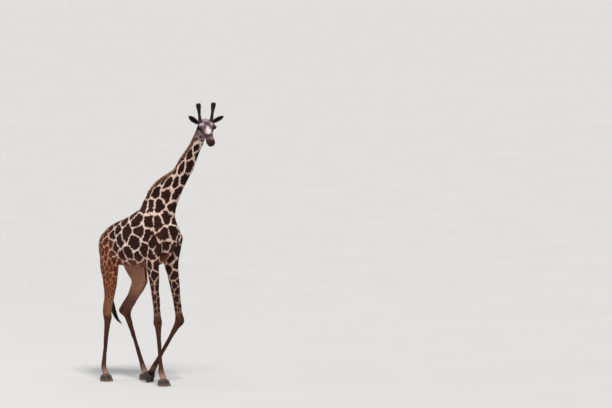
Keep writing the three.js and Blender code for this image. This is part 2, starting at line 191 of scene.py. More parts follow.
class Loft:
    """A closed body through oval rings. A station is [x, y, z, up, down, side].

    power is 2 for ellipses and more for squarer rings, domes are the depths of its rounded ends, and
    facing, if given, is the way that all its rings look.
    """

    DOME_RINGS = 6

    def __init__(self, stations, power=2.0, domes=(0, 0), lateral=Y, facing=None, place=None):
        self.stations = np.asarray(stations, float)
        self.power, self.domes, self.facing = power, domes, facing
        self.lateral = unit(lateral)
        self.place = place or (lambda p: p)

    def frames(self, u):
        """At shares u: the middle, the ways along, across and over, and the sizes (up, down, side)."""
        u = np.asarray(u, float)
        line = self.stations[:, :3]
        centre, sizes = catmull(line, u), catmull(self.stations[:, 3:6], u)
        along = unit(catmull(line, np.minimum(u + 1e-4, 1)) - catmull(line, np.maximum(u - 1e-4, 0)))
        if self.facing is not None:
            along = np.tile(unit(self.facing), (len(u), 1))
        across = unit(self.lateral - along * (along @ self.lateral)[:, None])
        origin = self.place(np.zeros((1, 3)))
        ways = [self.place(way) - origin for way in (along, across, np.cross(along, across))]
        return (self.place(centre), *ways, sizes)

    def rounded(self, v):
        return np.sign(v) * np.abs(v) ** (2 / self.power)

    def points(self, u, angle, grow=0.0):
        """Surface points at shares u and angles: 0 is the side, 90 is up."""
        centre, _, across, over, sizes = self.frames(u)
        up, down, side = sizes.T
        c, s = np.cos(np.radians(angle)), np.sin(np.radians(angle))
        wide, tall = side + grow, np.where(s > 0, up, down) + grow
        return centre + across * (self.rounded(c) * wide)[:, None] + over * (self.rounded(s) * tall)[:, None]

    def end_rings(self, end, grow):
        """Shares, scales and shifts of the rings that close the start (0) or the end (1)."""
        depth = self.domes[end]
        turns = np.linspace(0, math.pi / 2, self.DOME_RINGS + 1)[1:] if depth else np.array([math.pi / 2])
        scale = np.cos(turns)
        scale[-1] = 0
        shift = (depth + grow * (depth > 0)) * np.sin(turns) * (1 if end else -1)
        order = slice(None, None, 1 if end else -1)
        return np.full(len(turns), float(end)), scale[order], shift[order]

    def mesh(self, grow=0.0, sides=40, steps=7):
        """Vertices and triangles, with some steps between two stations."""
        count = (len(self.stations) - 1) * steps + 1
        between = np.linspace(0, 1, count), np.ones(count), np.zeros(count)
        rings = zip(self.end_rings(0, grow), between, self.end_rings(1, grow))
        u, scale, shift = map(np.concatenate, rings)
        angle = np.tile(np.arange(sides) * 360 / sides, len(u))
        ring = self.points(np.repeat(u, sides), angle, grow).reshape(len(u), sides, 3)
        centre, along = (v[:, None] for v in self.frames(u)[:2])
        verts = centre + (ring - centre) * scale[:, None, None] + along * shift[:, None, None]
        return verts.reshape(-1, 3), tube_faces(len(u), sides)


def ball(at, radii, turn=(0, 0, 0), place=None, sides=24):
    """An ellipsoid turned about the three axes, as vertices and triangles."""
    rows = sides // 2
    lat = np.linspace(0, math.pi, rows + 1)
    lon = np.arange(sides) * 2 * math.pi / sides
    p = np.stack([np.outer(np.sin(lat), np.cos(lon)), np.outer(np.sin(lat), np.sin(lon)),
                  np.outer(np.cos(lat), np.ones(sides))], -1).reshape(-1, 3)
    p = (p * radii) @ (turned(turn[0], 0) @ turned(turn[1], 1) @ turned(turn[2], 2)).T + at
    return (place(p) if place else p), tube_faces(rows + 1, sides, flipped=True)


# ---------- the body's lofts ----------

def rib(x, top, mid, bottom, side):
    return [x, 0, mid, top - mid, mid - bottom, side]


TRUNK = Loft([
    rib(-790, 2095, 1970, 1860, 105), rib(-710, 2205, 1970, 1755, 195), rib(-560, 2300, 2000, 1700, 250),
    rib(-380, 2375, 2010, 1670, 285), rib(-190, 2465, 2030, 1660, 315), rib(-10, 2580, 2070, 1665, 310),
    rib(140, 2685, 2120, 1690, 280), rib(280, 2690, 2190, 1745, 245), rib(400, 2520, 2220, 1860, 188),
    rib(500, 2350, 2200, 2020, 106)], power=2.15, domes=(50, 45), facing=X)
NECK = Loft([
    [95, 0, 2400, 226, 370, 195], [205, 0, 2590, 228, 332, 172], [352, 0, 2785, 186, 250, 146],
    [490, 0, 2938, 126, 196, 128], [585, 0, 3039, 94, 168, 116], [715, 0, 3180, 118, 132, 102],
    [900, -4, 3415, 112, 62, 78], [1010, -20, 3575, 116, 48, 72], [1070, -40, 3685, 110, 46, 72],
    [1102, -58, 3778, 98, 40, 60]], domes=(0, 26))
TAIL = Loft([
    [-700, 0, 2120, 45, 45, 42], [-800, 0, 2085, 48, 44, 44], [-868, 12, 1980, 36, 34, 34],
    [-892, 50, 1760, 27, 27, 26], [-888, 130, 1450, 22, 22, 22], [-862, 205, 1230, 19, 19, 19]])
TAIL_HAIR = Loft([
    [-862, 205, 1230, 20, 20, 20], [-848, 240, 1120, 30, 30, 30], [-838, 262, 1020, 38, 36, 36],
    [-830, 290, 925, 36, 34, 34], [-822, 350, 835, 26, 24, 24], [-808, 460, 745, 9, 9, 9]], domes=(0, 8))
SKULL = Loft([
    [-136, 0, 6, 44, 60, 56], [-102, 0, 8, 66, 80, 82], [-60, 0, 6, 78, 82, 97], [0, 0, 4, 74, 72, 100],
    [60, 0, 0, 62, 58, 90], [130, 0, -5, 50, 46, 72], [205, 0, -9, 43, 39, 62], [270, 0, -13, 42, 36, 67],
    [320, 0, -19, 39, 33, 64], [350, 0, -27, 28, 27, 46]], power=2.15, domes=(26, 16), place=from_head)
JAW = Loft([
    [-112, 0, -60, 40, 58, 48], [-50, 0, -66, 30, 68, 54], [40, 0, -62, 25, 60, 50],
    [130, 0, -55, 20, 44, 42], [220, 0, -51, 16, 34, 40], [290, 0, -55, 16, 31, 45],
    [326, 0, -55, 13, 22, 31]],
    power=2.2, domes=(20, 10), place=from_head)
CHEEKS = Loft([
    [-96, 0, -46, 40, 58, 58], [-20, 0, -48, 44, 64, 65], [60, 0, -46, 38, 54, 60], [130, 0, -40, 27, 42, 52],
    [176, 0, -37, 17, 30, 44]], power=2.2, domes=(20, 14), place=from_head)

# Legs. An "upper" row is a place of JOINTS with its ring; the others start with their share along the bone.
FORE = {
    "upper": [["top", 95, 115, 50], ["shoulder", 142, 170, 84], ["elbow", 110, 136, 76]],
    "shaft": [[0.22, 90, 104, 66], [0.5, 70, 78, 56], [0.8, 60, 64, 51], [1, 66, 62, 54]],
    "joint": [74, 62, 96],
    "cannon": [[0, 64, 60, 54], [0.12, 56, 56, 47], [0.28, 42, 45, 36], [0.6, 36, 41, 32], [0.88, 39, 45, 36],
               [1, 46, 52, 43]],
}
HIND = {
    "upper": [["top", 150, 130, 60], ["hip", 215, 195, 98], ["thigh", 172, 184, 104],
              ["stifle", 132, 126, 88]],
    "shaft": [[0.3, 108, 98, 70], [0.6, 84, 80, 56], [0.85, 70, 74, 50], [1, 70, 72, 52]],
    "joint": [74, 58, 88],
    "cannon": [[0, 62, 64, 52], [0.14, 54, 58, 45], [0.3, 42, 48, 37], [0.6, 37, 43, 33], [0.88, 40, 46, 36],
               [1, 46, 54, 43]],
}
PASTERN = [[0, 46, 52, 44], [0.4, 42, 44, 46], [0.8, 50, 50, 62], [1, 54, 54, 70]]
HOOF_HEIGHT, HOOF_TOE, CLAW_SPACING, TOE_FLAT = 92, 98, 41, 8
FETLOCK, CORONET = [-42, 0, 205], [2, 0, HOOF_HEIGHT - 4]  # in the foot's frame
FETLOCK_BALL = (50, 43, 50)
HOCK_POINT, HOCK_LOW = (-94, 52), (-34, -70)  # behind and above the middle of the hock
HEEL_ROWS = [26, 22, 22], [34, 20, 28], [34, 22, 30]

# Turn of each leg about z, places of its joints, and of its foot: x, y and pitch.
JOINTS = {
    "fore_right": {"turn": -5, "top": [175, -150, 2470], "shoulder": [315, -195, 2110],
                   "elbow": [265, -200, 1790], "middle": [337, -182, 915], "foot": [430, -172, 0]},
    "fore_left": {"turn": 15, "top": [195, 150, 2470], "shoulder": [345, 192, 2100],
                  "elbow": [290, 205, 1780], "middle": [443, 196, 918], "foot": [-52, 62, 50]},
    "hind_right": {"turn": -10, "top": [-540, -120, 2170], "hip": [-535, -168, 1960],
                   "thigh": [-540, -190, 1690], "stifle": [-520, -205, 1450],
                   "middle": [-562, -205, 935], "foot": [-605, -200, 0]},
    "hind_left": {"turn": 20, "top": [-530, 120, 2170], "hip": [-475, 168, 1960],
                  "thigh": [-372, 200, 1690], "stifle": [-325, 232, 1440],
                  "middle": [-572, 240, 975], "foot": [-232, 245, 0]},
}


def in_foot(leg, points):
    """Points given in the frame of a foot, whose origin is the middle of its sole."""
    x, y, pitch = JOINTS[leg]["foot"]
    rise = HOOF_TOE * math.sin(math.radians(pitch)) - TOE_FLAT if pitch else 0
    return np.asarray(points, float) @ turned(pitch, 1).T + [x, y, rise]


def heel(at, lean):
    """The cord from the calf to the point of the hock, and on down the back of the cannon."""
    turn = turned(at["turn"], 2)
    point, low = (turn @ turned(lean, 1) @ [x, 0, z] + at["middle"] for x, z in (HOCK_POINT, HOCK_LOW))
    calf = turn @ [-70, 0, -60] + at["stifle"]
    places = mixed(point, calf, 0.55), point, low
    return Loft([[*place, *ring] for place, ring in zip(places, HEEL_ROWS)], domes=(12, 12))


def leg_parts(leg):
    """The lofts of a leg by name, and its rounded joints as (middle, radii, turn)."""
    at = JOINTS[leg]
    kind = FORE if leg.startswith("fore") else HIND
    fetlock, coronet = in_foot(leg, [FETLOCK, CORONET])

    def span(a, b, rows):
        return [[*mixed(a, b, t), *sizes] for t, *sizes in rows]

    upper = [[*at[name], *sizes] for name, *sizes in kind["upper"]]
    upper += span(at[kind["upper"][-1][0]], at["middle"], kind["shaft"])
    lean = math.degrees(math.atan2(at["middle"][0] - fetlock[0], at["middle"][2] - fetlock[2]))
    lofts = {
        "upper": Loft(upper, lateral=turned(at["turn"], 2) @ Y),
        "cannon": Loft(span(at["middle"], fetlock, kind["cannon"])),
        "pastern": Loft(span(fetlock, coronet, PASTERN)),
    }
    if kind is HIND:
        lofts["heel"] = heel(at, lean)
    middle_ball = (at["middle"], kind["joint"], (0, lean / 2, at["turn"]))
    return lofts, [middle_ball, (fetlock, FETLOCK_BALL, (0, 0, 0))]


# ---------- ears ----------

EAR_LENGTH = 204
EAR_ROOT, EAR_OPENING = [-100, 98, -4], [0.8, 0.12, 0.32]
EAR_WAYS = {"left": [-0.1, 0.86, 0.46], "right": [-0.1, -0.74, 0.68]}
EAR_PROFILE = [[0, 17, 19], [0.18, 22, 31], [0.42, 22, 43], [0.66, 18, 41], [0.86, 11, 27], [1, 4, 7]]
EAR_WALL = [0, 0.12, 0.5, 0.88, 1], [4.6, 5.6, 6.5, 5.6, 4.6]
EAR_RINGS, EAR_ARC_POINTS = 45, 22


def ear_loft(name):
    """The outer oval of an ear. Its rings' "up" is the way the ear opens."""
    side = SIDES[name]
    root, way = mirrored(EAR_ROOT, side), unit(EAR_WAYS[name])
    rows = [[*(root + way * t * EAR_LENGTH), deep, deep, wide] for t, deep, wide in EAR_PROFILE]
    return Loft(rows, domes=(0, 5), lateral=np.cross(mirrored(EAR_OPENING, side), way), place=from_head)


def ear_ring(u, wide, deep):
    """One ring of an ear in its own plane: an outer arc, and an inner one a wall's thickness from it."""
    share = np.linspace(0, 1, EAR_ARC_POINTS)
    closed = smoothstep(u, 0.02, 0.3)
    rim = 28 * closed + 90 * (1 - closed)
    angle = np.radians(rim - share * (180 + 2 * rim))
    arc = np.stack([np.cos(angle) * wide, np.sin(angle) * deep], 1)
    tangent = np.gradient(arc, axis=0)
    inward = unit(np.stack([tangent[:, 1], -tangent[:, 0]], 1))
    inward *= np.sign(-(inward * arc).sum(1, keepdims=True))
    wall = np.interp(share, *EAR_WALL) * min(1, wide / 14)
    hollow = smoothstep(u, 0.0, 0.16)
    inner = arc * (1 - hollow) * 0.05 + (arc + inward * wall[:, None]) * hollow
    return np.concatenate([arc, inner[::-1]])


def ear_mesh(name, grow=-1.5):
    """A leaf-shaped shell, open at the front, with a flat cap at each end."""
    u = np.linspace(0.0, 1.0, EAR_RINGS)
    centre, _, across, over, sizes = ear_loft(name).frames(u)
    rings = []
    for i in range(len(u)):
        ring = ear_ring(u[i], sizes[i, 2] + grow, sizes[i, 0] + grow)
        rings.append(centre[i] + across[i] * ring[:, :1] + over[i] * ring[:, 1:])
    sides = len(rings[0])
    verts = np.vstack(rings + [rings[0].mean(0), rings[-1].mean(0)])
    j = np.arange(sides)
    last = (len(u) - 1) * sides
    first_cap = np.stack([np.full(sides, len(verts) - 2), j, (j + 1) % sides], -1)
    last_cap = np.stack([last + (j + 1) % sides, last + j, np.full(sides, len(verts) - 1)], -1)
    return verts, np.concatenate([tube_faces(len(u), sides, flipped=True), first_cap, last_cap])


# ---------- meshes ----------

def mesh_object(name, verts, faces):
    """An object with smooth faces, all of as many corners as the rows of faces are long."""
    mesh = bpy.data.meshes.new(name)
    corners, per_face = np.ascontiguousarray(faces, np.int32).ravel(), faces.shape[1]
    mesh.vertices.add(len(verts))
    mesh.vertices.foreach_set("co", np.ascontiguousarray(verts, np.float32).ravel())
    mesh.loops.add(len(corners))
    mesh.loops.foreach_set("vertex_index", corners)
    mesh.polygons.add(len(faces))
    mesh.polygons.foreach_set("loop_start", np.arange(0, len(corners), per_face, dtype=np.int32))
    mesh.update(calc_edges=True)
    mesh.polygons.foreach_set("use_smooth", np.full(len(mesh.polygons), True))
    mesh.update()
    obj = bpy.data.objects.new(name, mesh)
    bpy.context.scene.collection.objects.link(obj)
    return obj


def read(items, key, width, kind):
    """An array of one property of every item of a mesh, a row each."""
    values = np.empty(len(items) * width, kind)
    items.foreach_get(key, values)
    return values.reshape(-1, width)


def vertices_of(mesh):
    return read(mesh.vertices, "co", 3, np.float32).astype(float)


def edges_of(mesh):
    return read(mesh.edges, "vertices", 2, np.int32)


def triangles_of(mesh):
    mesh.calc_loop_triangles()
    return read(mesh.loop_triangles, "vertices", 3, np.int32)


def normals_of(obj):
    obj.data.update()
    return read(obj.data.vertices, "normal", 3, np.float32).astype(float)


def set_vertices(obj, p):
    obj.data.vertices.foreach_set("co", np.ascontiguousarray(p, np.float32).ravel())
    obj.data.update()


def put(obj, name, values, kind="FLOAT"):
    """Writes an attribute of the points."""
    key = {"FLOAT": "value", "FLOAT_VECTOR": "vector", "FLOAT_COLOR": "color"}[kind]
    if kind == "FLOAT_COLOR":
        values = np.concatenate([values, np.ones((len(values), 1))], 1)
    attribute = obj.data.attributes.new(name, kind, "POINT")
    attribute.data.foreach_set(key, np.ascontiguousarray(values, np.float32).ravel())


def applied(obj):
    """Makes an object's modifiers part of its mesh."""
    graph = bpy.context.evaluated_depsgraph_get()
    mesh = bpy.data.meshes.new_from_object(obj.evaluated_get(graph))
    old = obj.data
    obj.modifiers.clear()
    obj.data = mesh
    bpy.data.meshes.remove(old)


def smoothed(p, edges, weight, rounds):
    """Vertices moved towards their neighbours' mean, each by its own weight."""
    degree = np.bincount(edges.ravel(), minlength=len(p))
    for _ in range(rounds):
        total = np.zeros_like(p)
        for c in range(p.shape[1]):
            total[:, c] = np.bincount(edges[:, 0], p[edges[:, 1], c], len(p))
            total[:, c] += np.bincount(edges[:, 1], p[edges[:, 0], c], len(p))
        p = p + (total / np.maximum(degree, 1)[:, None] - p) * weight[:, None]
    return p


def smooth_noise(p, size, seed, waves=28):
    """Soft noise of about unit height over points, with features about `size` across."""
    rng = np.random.default_rng(seed)
    ways = unit(rng.normal(size=(waves, 3))) * rng.uniform(0.6, 1.5, (waves, 1)) * 2 * math.pi / (2.2 * size)
    phase = rng.uniform(0, 2 * math.pi, waves)
    total = np.zeros(len(p))
    for k, f in zip(ways, phase):
        total += np.sin(p @ k + f)
    return total * math.sqrt(2 / waves)


def noise_vectors(p, size, seeds):
    return np.stack([smooth_noise(p, size, seed) for seed in seeds], 1)


# ---------- the skin's first surface ----------

# How deep each form lies under the CAD's surface, and its vertices round and rings between two stations.
UNDER_COAT = {
    "trunk": (9, 64, 8), "neck": (8, 56, 8), "tail": (3, 24, 8), "head": (3.5, 64, 10), "jaw": (3.5, 48, 10),
    "upper": (6, 48, 8), "cannon": (3.5, 32, 8), "pastern": (3, 32, 8), "heel": (3, 24, 8),
}
JOINT_DEPTH = 4.0
FOREHEAD_BUMP = ((10, 0, 58), (88, 56, 20), (0, 8, 0))
HEAD_LUMPS = [  # (middle, radii, yaw) on the left: orbit, jaw muscle, temple, cheek bone
    ((6, 100, 14), (52, 31, 33), -8), ((-52, 60, -44), (72, 28, 48), 0), ((-6, 56, 36), (74, 48, 34), 0),
    ((44, 70, -12), (72, 27, 34), -12),
]


def form(loft, name):
    depth, sides, steps = UNDER_COAT[name]
    return loft.mesh(-depth, sides, steps)


def flesh():
    """Every rounded form of the body as (vertices, triangles), each held back by the coat's depth."""
    forms = [form(TRUNK, "trunk"), form(NECK, "neck"), form(TAIL, "tail"),
             form(SKULL, "head"), form(JAW, "jaw"), form(CHEEKS, "jaw"),
             ear_mesh("left"), ear_mesh("right"), ball(*FOREHEAD_BUMP, from_head)]
    for side in (1, -1):
        for at, radii, yaw in HEAD_LUMPS:
            forms.append(ball(mirrored(at, side), radii, (0, 0, yaw * side), from_head))
    for leg in LEGS:
        lofts, balls = leg_parts(leg)
        forms += [form(loft, name) for name, loft in lofts.items()]
        forms += [ball(at, np.array(radii) - JOINT_DEPTH, turn) for at, radii, turn in balls]
    return forms


# The skin is remeshed with cubes of one size. Before that, space round the head is stretched, so that
# the cubes are finest there. NEW_DISTANCE is what each DISTANCE from the head's middle becomes.
VOXEL = 10.5
STRETCH = 3.2
STRETCH_CENTRE = from_head([60, 0, 0])
DISTANCE = np.linspace(0, 6000, 6001)
SLOPE = 1 + (STRETCH - 1) * (1 - smoothstep(DISTANCE, 330, 620)) - 0.25 * smoothstep(DISTANCE, 500, 900)
NEW_DISTANCE = np.concatenate([[0], np.cumsum((SLOPE[1:] + SLOPE[:-1]) / 2)])


def stretched(p, back=False):
    before, after = (NEW_DISTANCE, DISTANCE) if back else (DISTANCE, NEW_DISTANCE)
    d = p - STRETCH_CENTRE
    r = np.maximum(np.linalg.norm(d, axis=1, keepdims=True), 1e-6)
    return STRETCH_CENTRE + d * np.interp(r, before, after) / r


def head_share(p):
    """1 on the head and 0 on the body, changing smoothly along the top of the neck."""
    return 1 - smoothstep(np.linalg.norm(p - STRETCH_CENTRE, axis=1), 250, 430)


def base_skin():
    """The united flesh in body millimetres, as a mesh object."""
    verts, tris = joined(flesh())
    obj = mesh_object("skin", stretched(verts), tris)
    remesh = obj.modifiers.new("voxels", "REMESH")
    remesh.mode, remesh.voxel_size = "VOXEL", VOXEL
    applied(obj)
    set_vertices(obj, stretched(vertices_of(obj.data), back=True))
    return obj


def refine(obj, centres, reach, rounds):
    """Splits the faces near some points, so that small features have vertices to work with."""
    bm = bmesh.new()
    bm.from_mesh(obj.data)
    for _ in range(rounds):
        bm.verts.ensure_lookup_table()
        co = np.array([v.co for v in bm.verts])
        near = np.zeros(len(co), bool)
        for c in centres:
            near |= ((co - c) ** 2).sum(1) < reach**2
        edges = [e for e in bm.edges if near[e.verts[0].index] and near[e.verts[1].index]]
        bmesh.ops.subdivide_edges(bm, edges=edges, cuts=1, use_grid_fill=True)
        bm.verts.index_update()
    bm.to_mesh(obj.data)
    bm.free()
    obj.data.update()


# ---------- sculpting ----------
# Muscles, bones, tendons and folds are lines drawn on the skin, each with how far it reaches to its sides
# and how high it stands; below 0 it is a groove.

SIDE_START = 900  # how far out the rays start that find the skin from the side
BONE_LENGTHS = {"upper": 1500, "cannon": 700, "pastern": 130}
NECK_LENGTH = 1600


def resampled(points, step):
    """Points a step apart along the line through the given ones."""
    p = np.asarray(points, float)
    length = np.concatenate([[0], np.cumsum(np.linalg.norm(np.diff(p, axis=0), axis=1))])
    t = np.linspace(0, length[-1], max(2, int(length[-1] / step) + 1))
    return np.stack([np.interp(t, length, p[:, c]) for c in range(p.shape[1])], 1)


def along_loft(rows, long, step):
    """Points of a line of (share, angle) rows on a loft of some length, a step apart."""
    return resampled(np.asarray(rows, float) * [long, 1], step) / [long, 1]


def side_line(tree, side, pairs, step):
    """Points on the skin under a line drawn on a side view of it."""
    way = Vector(-side * Y)
    hits = (tree.ray_cast(Vector((x, side * SIDE_START, z)), way)[0] for x, z in resampled(pairs, step))
    return np.array([tuple(hit) for hit in hits if hit is not None])


def leg_line(lofts, leg, part, rows, step):
    """Points on a leg's loft: (share along it, degrees from its front towards its outer side)."""
    sign = 1 if leg.endswith("right") else -1
    rows = along_loft(rows, BONE_LENGTHS[part], step)
    return lofts[part].points(rows[:, 0], 90 + sign * rows[:, 1], -4)


def head_line(tree, points, side, step):
    """Points on the skin nearest to a line of the head's frame."""
    spots = from_head(mirrored(resampled(points, step), side))
    return np.array([tuple(tree.find_nearest(Vector(s))[0]) for s in spots])


# Lines drawn on both sides of the trunk, neck and thighs: (points [x, z], reach, height).
SIDE_LINES = [
    ([(215, 2560), (165, 2400), (160, 2200), (205, 2010)], 34, -8),  # behind the shoulder blade
    ([(300, 2540), (318, 2380), (352, 2180)], 24, 4),  # its spine
    ([(392, 2440), (440, 2260), (452, 2100)], 24, -5),
    ([(352, 2120), (290, 2030), (222, 1965)], 19, -6),  # between shoulder and upper arm
    ([(130, 1960), (158, 1870), (200, 1795)], 24, -7),
    ([(440, 2060), (400, 1960), (370, 1850)], 20, -5),
    ([(-440, 2100), (-400, 2040)], 62, -8),  # hollow of the flank
    ([(-430, 1830), (-330, 1735), (-220, 1690)], 20, 5),  # fold from the flank to the belly
    ([(-455, 1900), (-370, 1800), (-270, 1745)], 22, -7),
    ([(-560, 2240), (-510, 2225)], 34, 6),  # hip bone
    ([(-775, 2050), (-765, 2030)], 26, 4),
    ([(-722, 2060), (-700, 1860), (-668, 1660), (-640, 1500)], 19, -7),
    ([(-600, 2120), (-585, 1930), (-575, 1740), (-560, 1560)], 24, -4),
    ([(-470, 2150), (-430, 1980), (-415, 1800), (-420, 1620)], 26, -4),
] + [([(x + 46, 2330), (x, 2130), (x + 6, 1930), (x + 50, 1770)], 15, -1.3) for x in range(-400, 121, 58)]

NECK_LINES = [  # (share along the neck, degrees from its left side upward), drawn on both sides
    ([(0.24, -48), (0.5, -52), (0.72, -50), (0.92, -42)], 24, -6),  # groove over the windpipe
    ([(0.3, 62), (0.5, 56), (0.7, 50), (0.9, 46)], 24, -5),  # under the crest
    ([(0.22, -12), (0.42, -18), (0.66, -14)], 30, -3),
] + [([(u, 6), (u + 0.025, -2)], 34, 4) for u in (0.34, 0.46, 0.58, 0.7, 0.82)]  # bones of the neck

FORE_LINES = [  # (loft, rows, reach, height)
    ("upper", [(0.37, 96), (0.5, 100), (0.68, 100), (0.88, 96)], 12, -6),
    ("upper", [(0.39, 48), (0.55, 54), (0.82, 60)], 9, -3.5),
    ("upper", [(0.42, -80), (0.6, -86), (0.9, -80)], 13, -4),
    ("upper", [(0.4, 150), (0.6, 155), (0.86, 150)], 10, -3.5),
    ("upper", [(0.965, 70), (0.985, 70)], 15, 3), ("upper", [(0.965, -70), (0.985, -70)], 15, 3),
    ("upper", [(0.93, 10), (0.985, 6)], 12, -2.5),
    ("cannon", [(0.02, 172), (0.05, 176)], 16, 5), ("cannon", [(0.12, 170), (0.18, 172)], 14, -3),
]
HIND_LINES = [
    ("upper", [(0.5, 118), (0.66, 124), (0.82, 130), (0.94, 136)], 13, -7),
    ("upper", [(0.6, -120), (0.8, -128), (0.94, -134)], 13, -6),
    ("upper", [(0.46, 40), (0.62, 46), (0.8, 56)], 11, -4),
    ("upper", [(0.4, 0), (0.43, 4)], 26, 5),  # kneecap
    ("cannon", [(0.02, 60), (0.07, 66)], 14, -3), ("cannon", [(0.05, -60), (0.1, -66)], 14, -3),
]
BOTH_LINES = [
    ("cannon", [(0.16, 122), (0.5, 118), (0.88, 118)], 7.5, -5.5),  # between the bone and the tendons
    ("cannon", [(0.16, -122), (0.5, -118), (0.88, -118)], 7.5, -5.5),
    ("cannon", [(0.08, 6), (0.5, 3), (0.92, 3)], 7, 1.6),
    ("cannon", [(0.97, 130), (1.0, 130)], 13, 4), ("cannon", [(0.97, -130), (1.0, -130)], 13, 4),
    ("pastern", [(0.45, 0), (0.75, 0), (1.0, 0)], 7, -6),  # cleft between the toes
    ("pastern", [(0.35, 180), (0.7, 180), (1.0, 180)], 9, -8),
    ("pastern", [(0.9, 60), (0.9, 110), (0.9, 160)], 7, 2),
]

HEAD_LINES = [  # points of the left side in the head's frame
    ([(-58, 106, 40), (-10, 122, 46), (48, 112, 40), (78, 92, 26)], 10, 4),  # brow
    ([(-70, 100, -22), (-10, 106, -32), (60, 96, -26), (120, 74, -18)], 12, 4),  # cheek bone
    ([(20, 88, -62), (80, 76, -48), (140, 60, -36)], 18, -5),
    ([(84, 84, 8), (112, 74, 8)], 20, -5),  # in front of the eye
    ([(40, 56, 60), (120, 40, 44), (220, 30, 32)], 12, 2.4),  # edge of the nose bone
    ([(150, 62, 12), (220, 54, 6), (280, 50, 4)], 11, -3),
    ([(30, 76, -40), (4, 74, -78), (-34, 58, -104)], 9, -4),  # front of the jaw muscle
    ([(-112, 66, -40), (-118, 52, -84), (-108, 20, -112)], 10, -5),
    ([(150, 54, -42), (200, 58, -43), (252, 62, -44), (300, 58, -46), (334, 38, -48), (352, 0, -48)],
     3.6, -6.5),  # between the lips
    ([(170, 60, -32), (230, 64, -32), (290, 64, -34), (330, 44, -36), (350, 0, -37)], 8, 2),
    ([(200, 50, -60), (260, 52, -62), (310, 44, -64), (334, 0, -66)], 9, 2.2),
    ([(136, 58, -36), (150, 56, -44), (146, 52, -52)], 5, -2.5),
    ([(282, 58, 22), (306, 60, 14), (326, 52, 2)], 9, 3.4),  # wing of the nostril
    ([(340, 20, -4), (344, 10, -18), (344, 0, -26)], 7, -1.6),
    ([(-20, 30, 86), (30, 0, 92), (60, 0, 78)], 26, 2.5),
] + [([(70 + 9 * i, 92 - 3 * i, -24 + 2 * i), (34 + 6 * i, 104 - 2 * i, -38 - 4 * i)], 3, -1.0)
     for i in range(4)]  # wrinkles under the eye
NOSTRIL = [(292, 62, 8), (308, 62, 2), (322, 54, -6)]


def drawn_lines(tree):
    """All the lines as (points on the skin, reach, height)."""
    lines = []
    for pairs, reach, height in SIDE_LINES:
        lines += [(side_line(tree, side, pairs, reach / 5), reach, height) for side in (1, -1)]
    for rows, reach, height in NECK_LINES:
        rows = along_loft(rows, NECK_LENGTH, reach / 5)
        for angle in (rows[:, 1], 180 - rows[:, 1]):
            lines.append((NECK.points(rows[:, 0], angle, -8), reach, height))
    for leg in LEGS:
        lofts = leg_parts(leg)[0]
        for part, rows, reach, height in (FORE_LINES if leg.startswith("fore") else HIND_LINES) + BOTH_LINES:
            lines.append((leg_line(lofts, leg, part, rows, reach / 4), reach, height))
    for points, reach, height in HEAD_LINES + [(NOSTRIL, 4.2, -11)]:
        lines += [(head_line(tree, points, side, reach / 4), reach, height) for side in (1, -1)]
    return lines


def sculpt(obj):
    """Moves the skin along its normals by the drawn lines, and a little by noise."""
    felt = 2.6  # a line is felt as far as this many times its reach
    p, n = vertices_of(obj.data), normals_of(obj)
    tree = BVHTree.FromPolygons(p.tolist(), [f.vertices[:] for f in obj.data.polygons])
    move = np.zeros(len(p))
    for points, reach, height in drawn_lines(tree):
        if not len(points):
            continue
        low, high = points.min(0) - felt * reach, points.max(0) + felt * reach
        near = np.where(((p > low) & (p < high)).all(1))[0]
        d = np.full(len(near), np.inf)
        for q in points:
            d = np.minimum(d, ((p[near] - q) ** 2).sum(1))
        move[near] += height * np.exp(-d / reach**2)
    head = head_share(p)
    move += (1 - head) * (1.4 * smooth_noise(p, 90, 1) + 0.7 * smooth_noise(p, 34, 2))
    move += head * 0.35 * smooth_noise(p, 22, 3)
    set_vertices(obj, p + n * move[:, None])


# ---------- lids ----------
# Round an eye, places are told by two angles from its gaze: along the eye's opening, and across it.

EYE_TILT = math.radians(-9)
EYE_GAZE = [0.34, 0.93, 0.05]
LID_RADIUS, SOCKET_RADIUS = 30.4, 21.5
SHAPED_DISTANCE, SHAPED_ANGLE, HELD_ANGLE = 52, 84, 62  # the skin is moved fully up to HELD_ANGLE
OPENING_HALF, UPPER_LID, LOWER_LID, LID_DROP = 54, 27, 25, 3  # angles
MM_PER_DEGREE = 0.47


def eye_frame(side):
    """Gaze, way to the nose and way up of an eye, in the head's frame."""
    gaze = unit(mirrored(EYE_GAZE, side))
    ahead = unit(X - gaze * gaze[0])
    return gaze, ahead, np.cross(ahead, gaze) * side


def eye_angles(w, side):
    """Angles along and across an eye's opening for places seen from its middle."""
    gaze, ahead, up = eye_frame(side)
    a = np.degrees(np.arctan2(w @ ahead, w @ gaze))
    b = np.degrees(np.arctan2(w @ up, w @ gaze))
    c, s = math.cos(EYE_TILT), math.sin(EYE_TILT)
    return a * c + b * s, b * c - a * s


def lid_edges(a):
    """Where the upper and the lower lid end, at an angle along the eye."""
    t = np.clip(np.abs(a) / OPENING_HALF, 0, 1)
    bow = np.clip(1 - t**2.1, 0, 1)
    return UPPER_LID * bow - LID_DROP, -LOWER_LID * bow - LID_DROP


def roll(inside, middle, width):
    """A soft ridge along the lid's edge."""
    return np.exp(-((inside + middle) / width) ** 2)


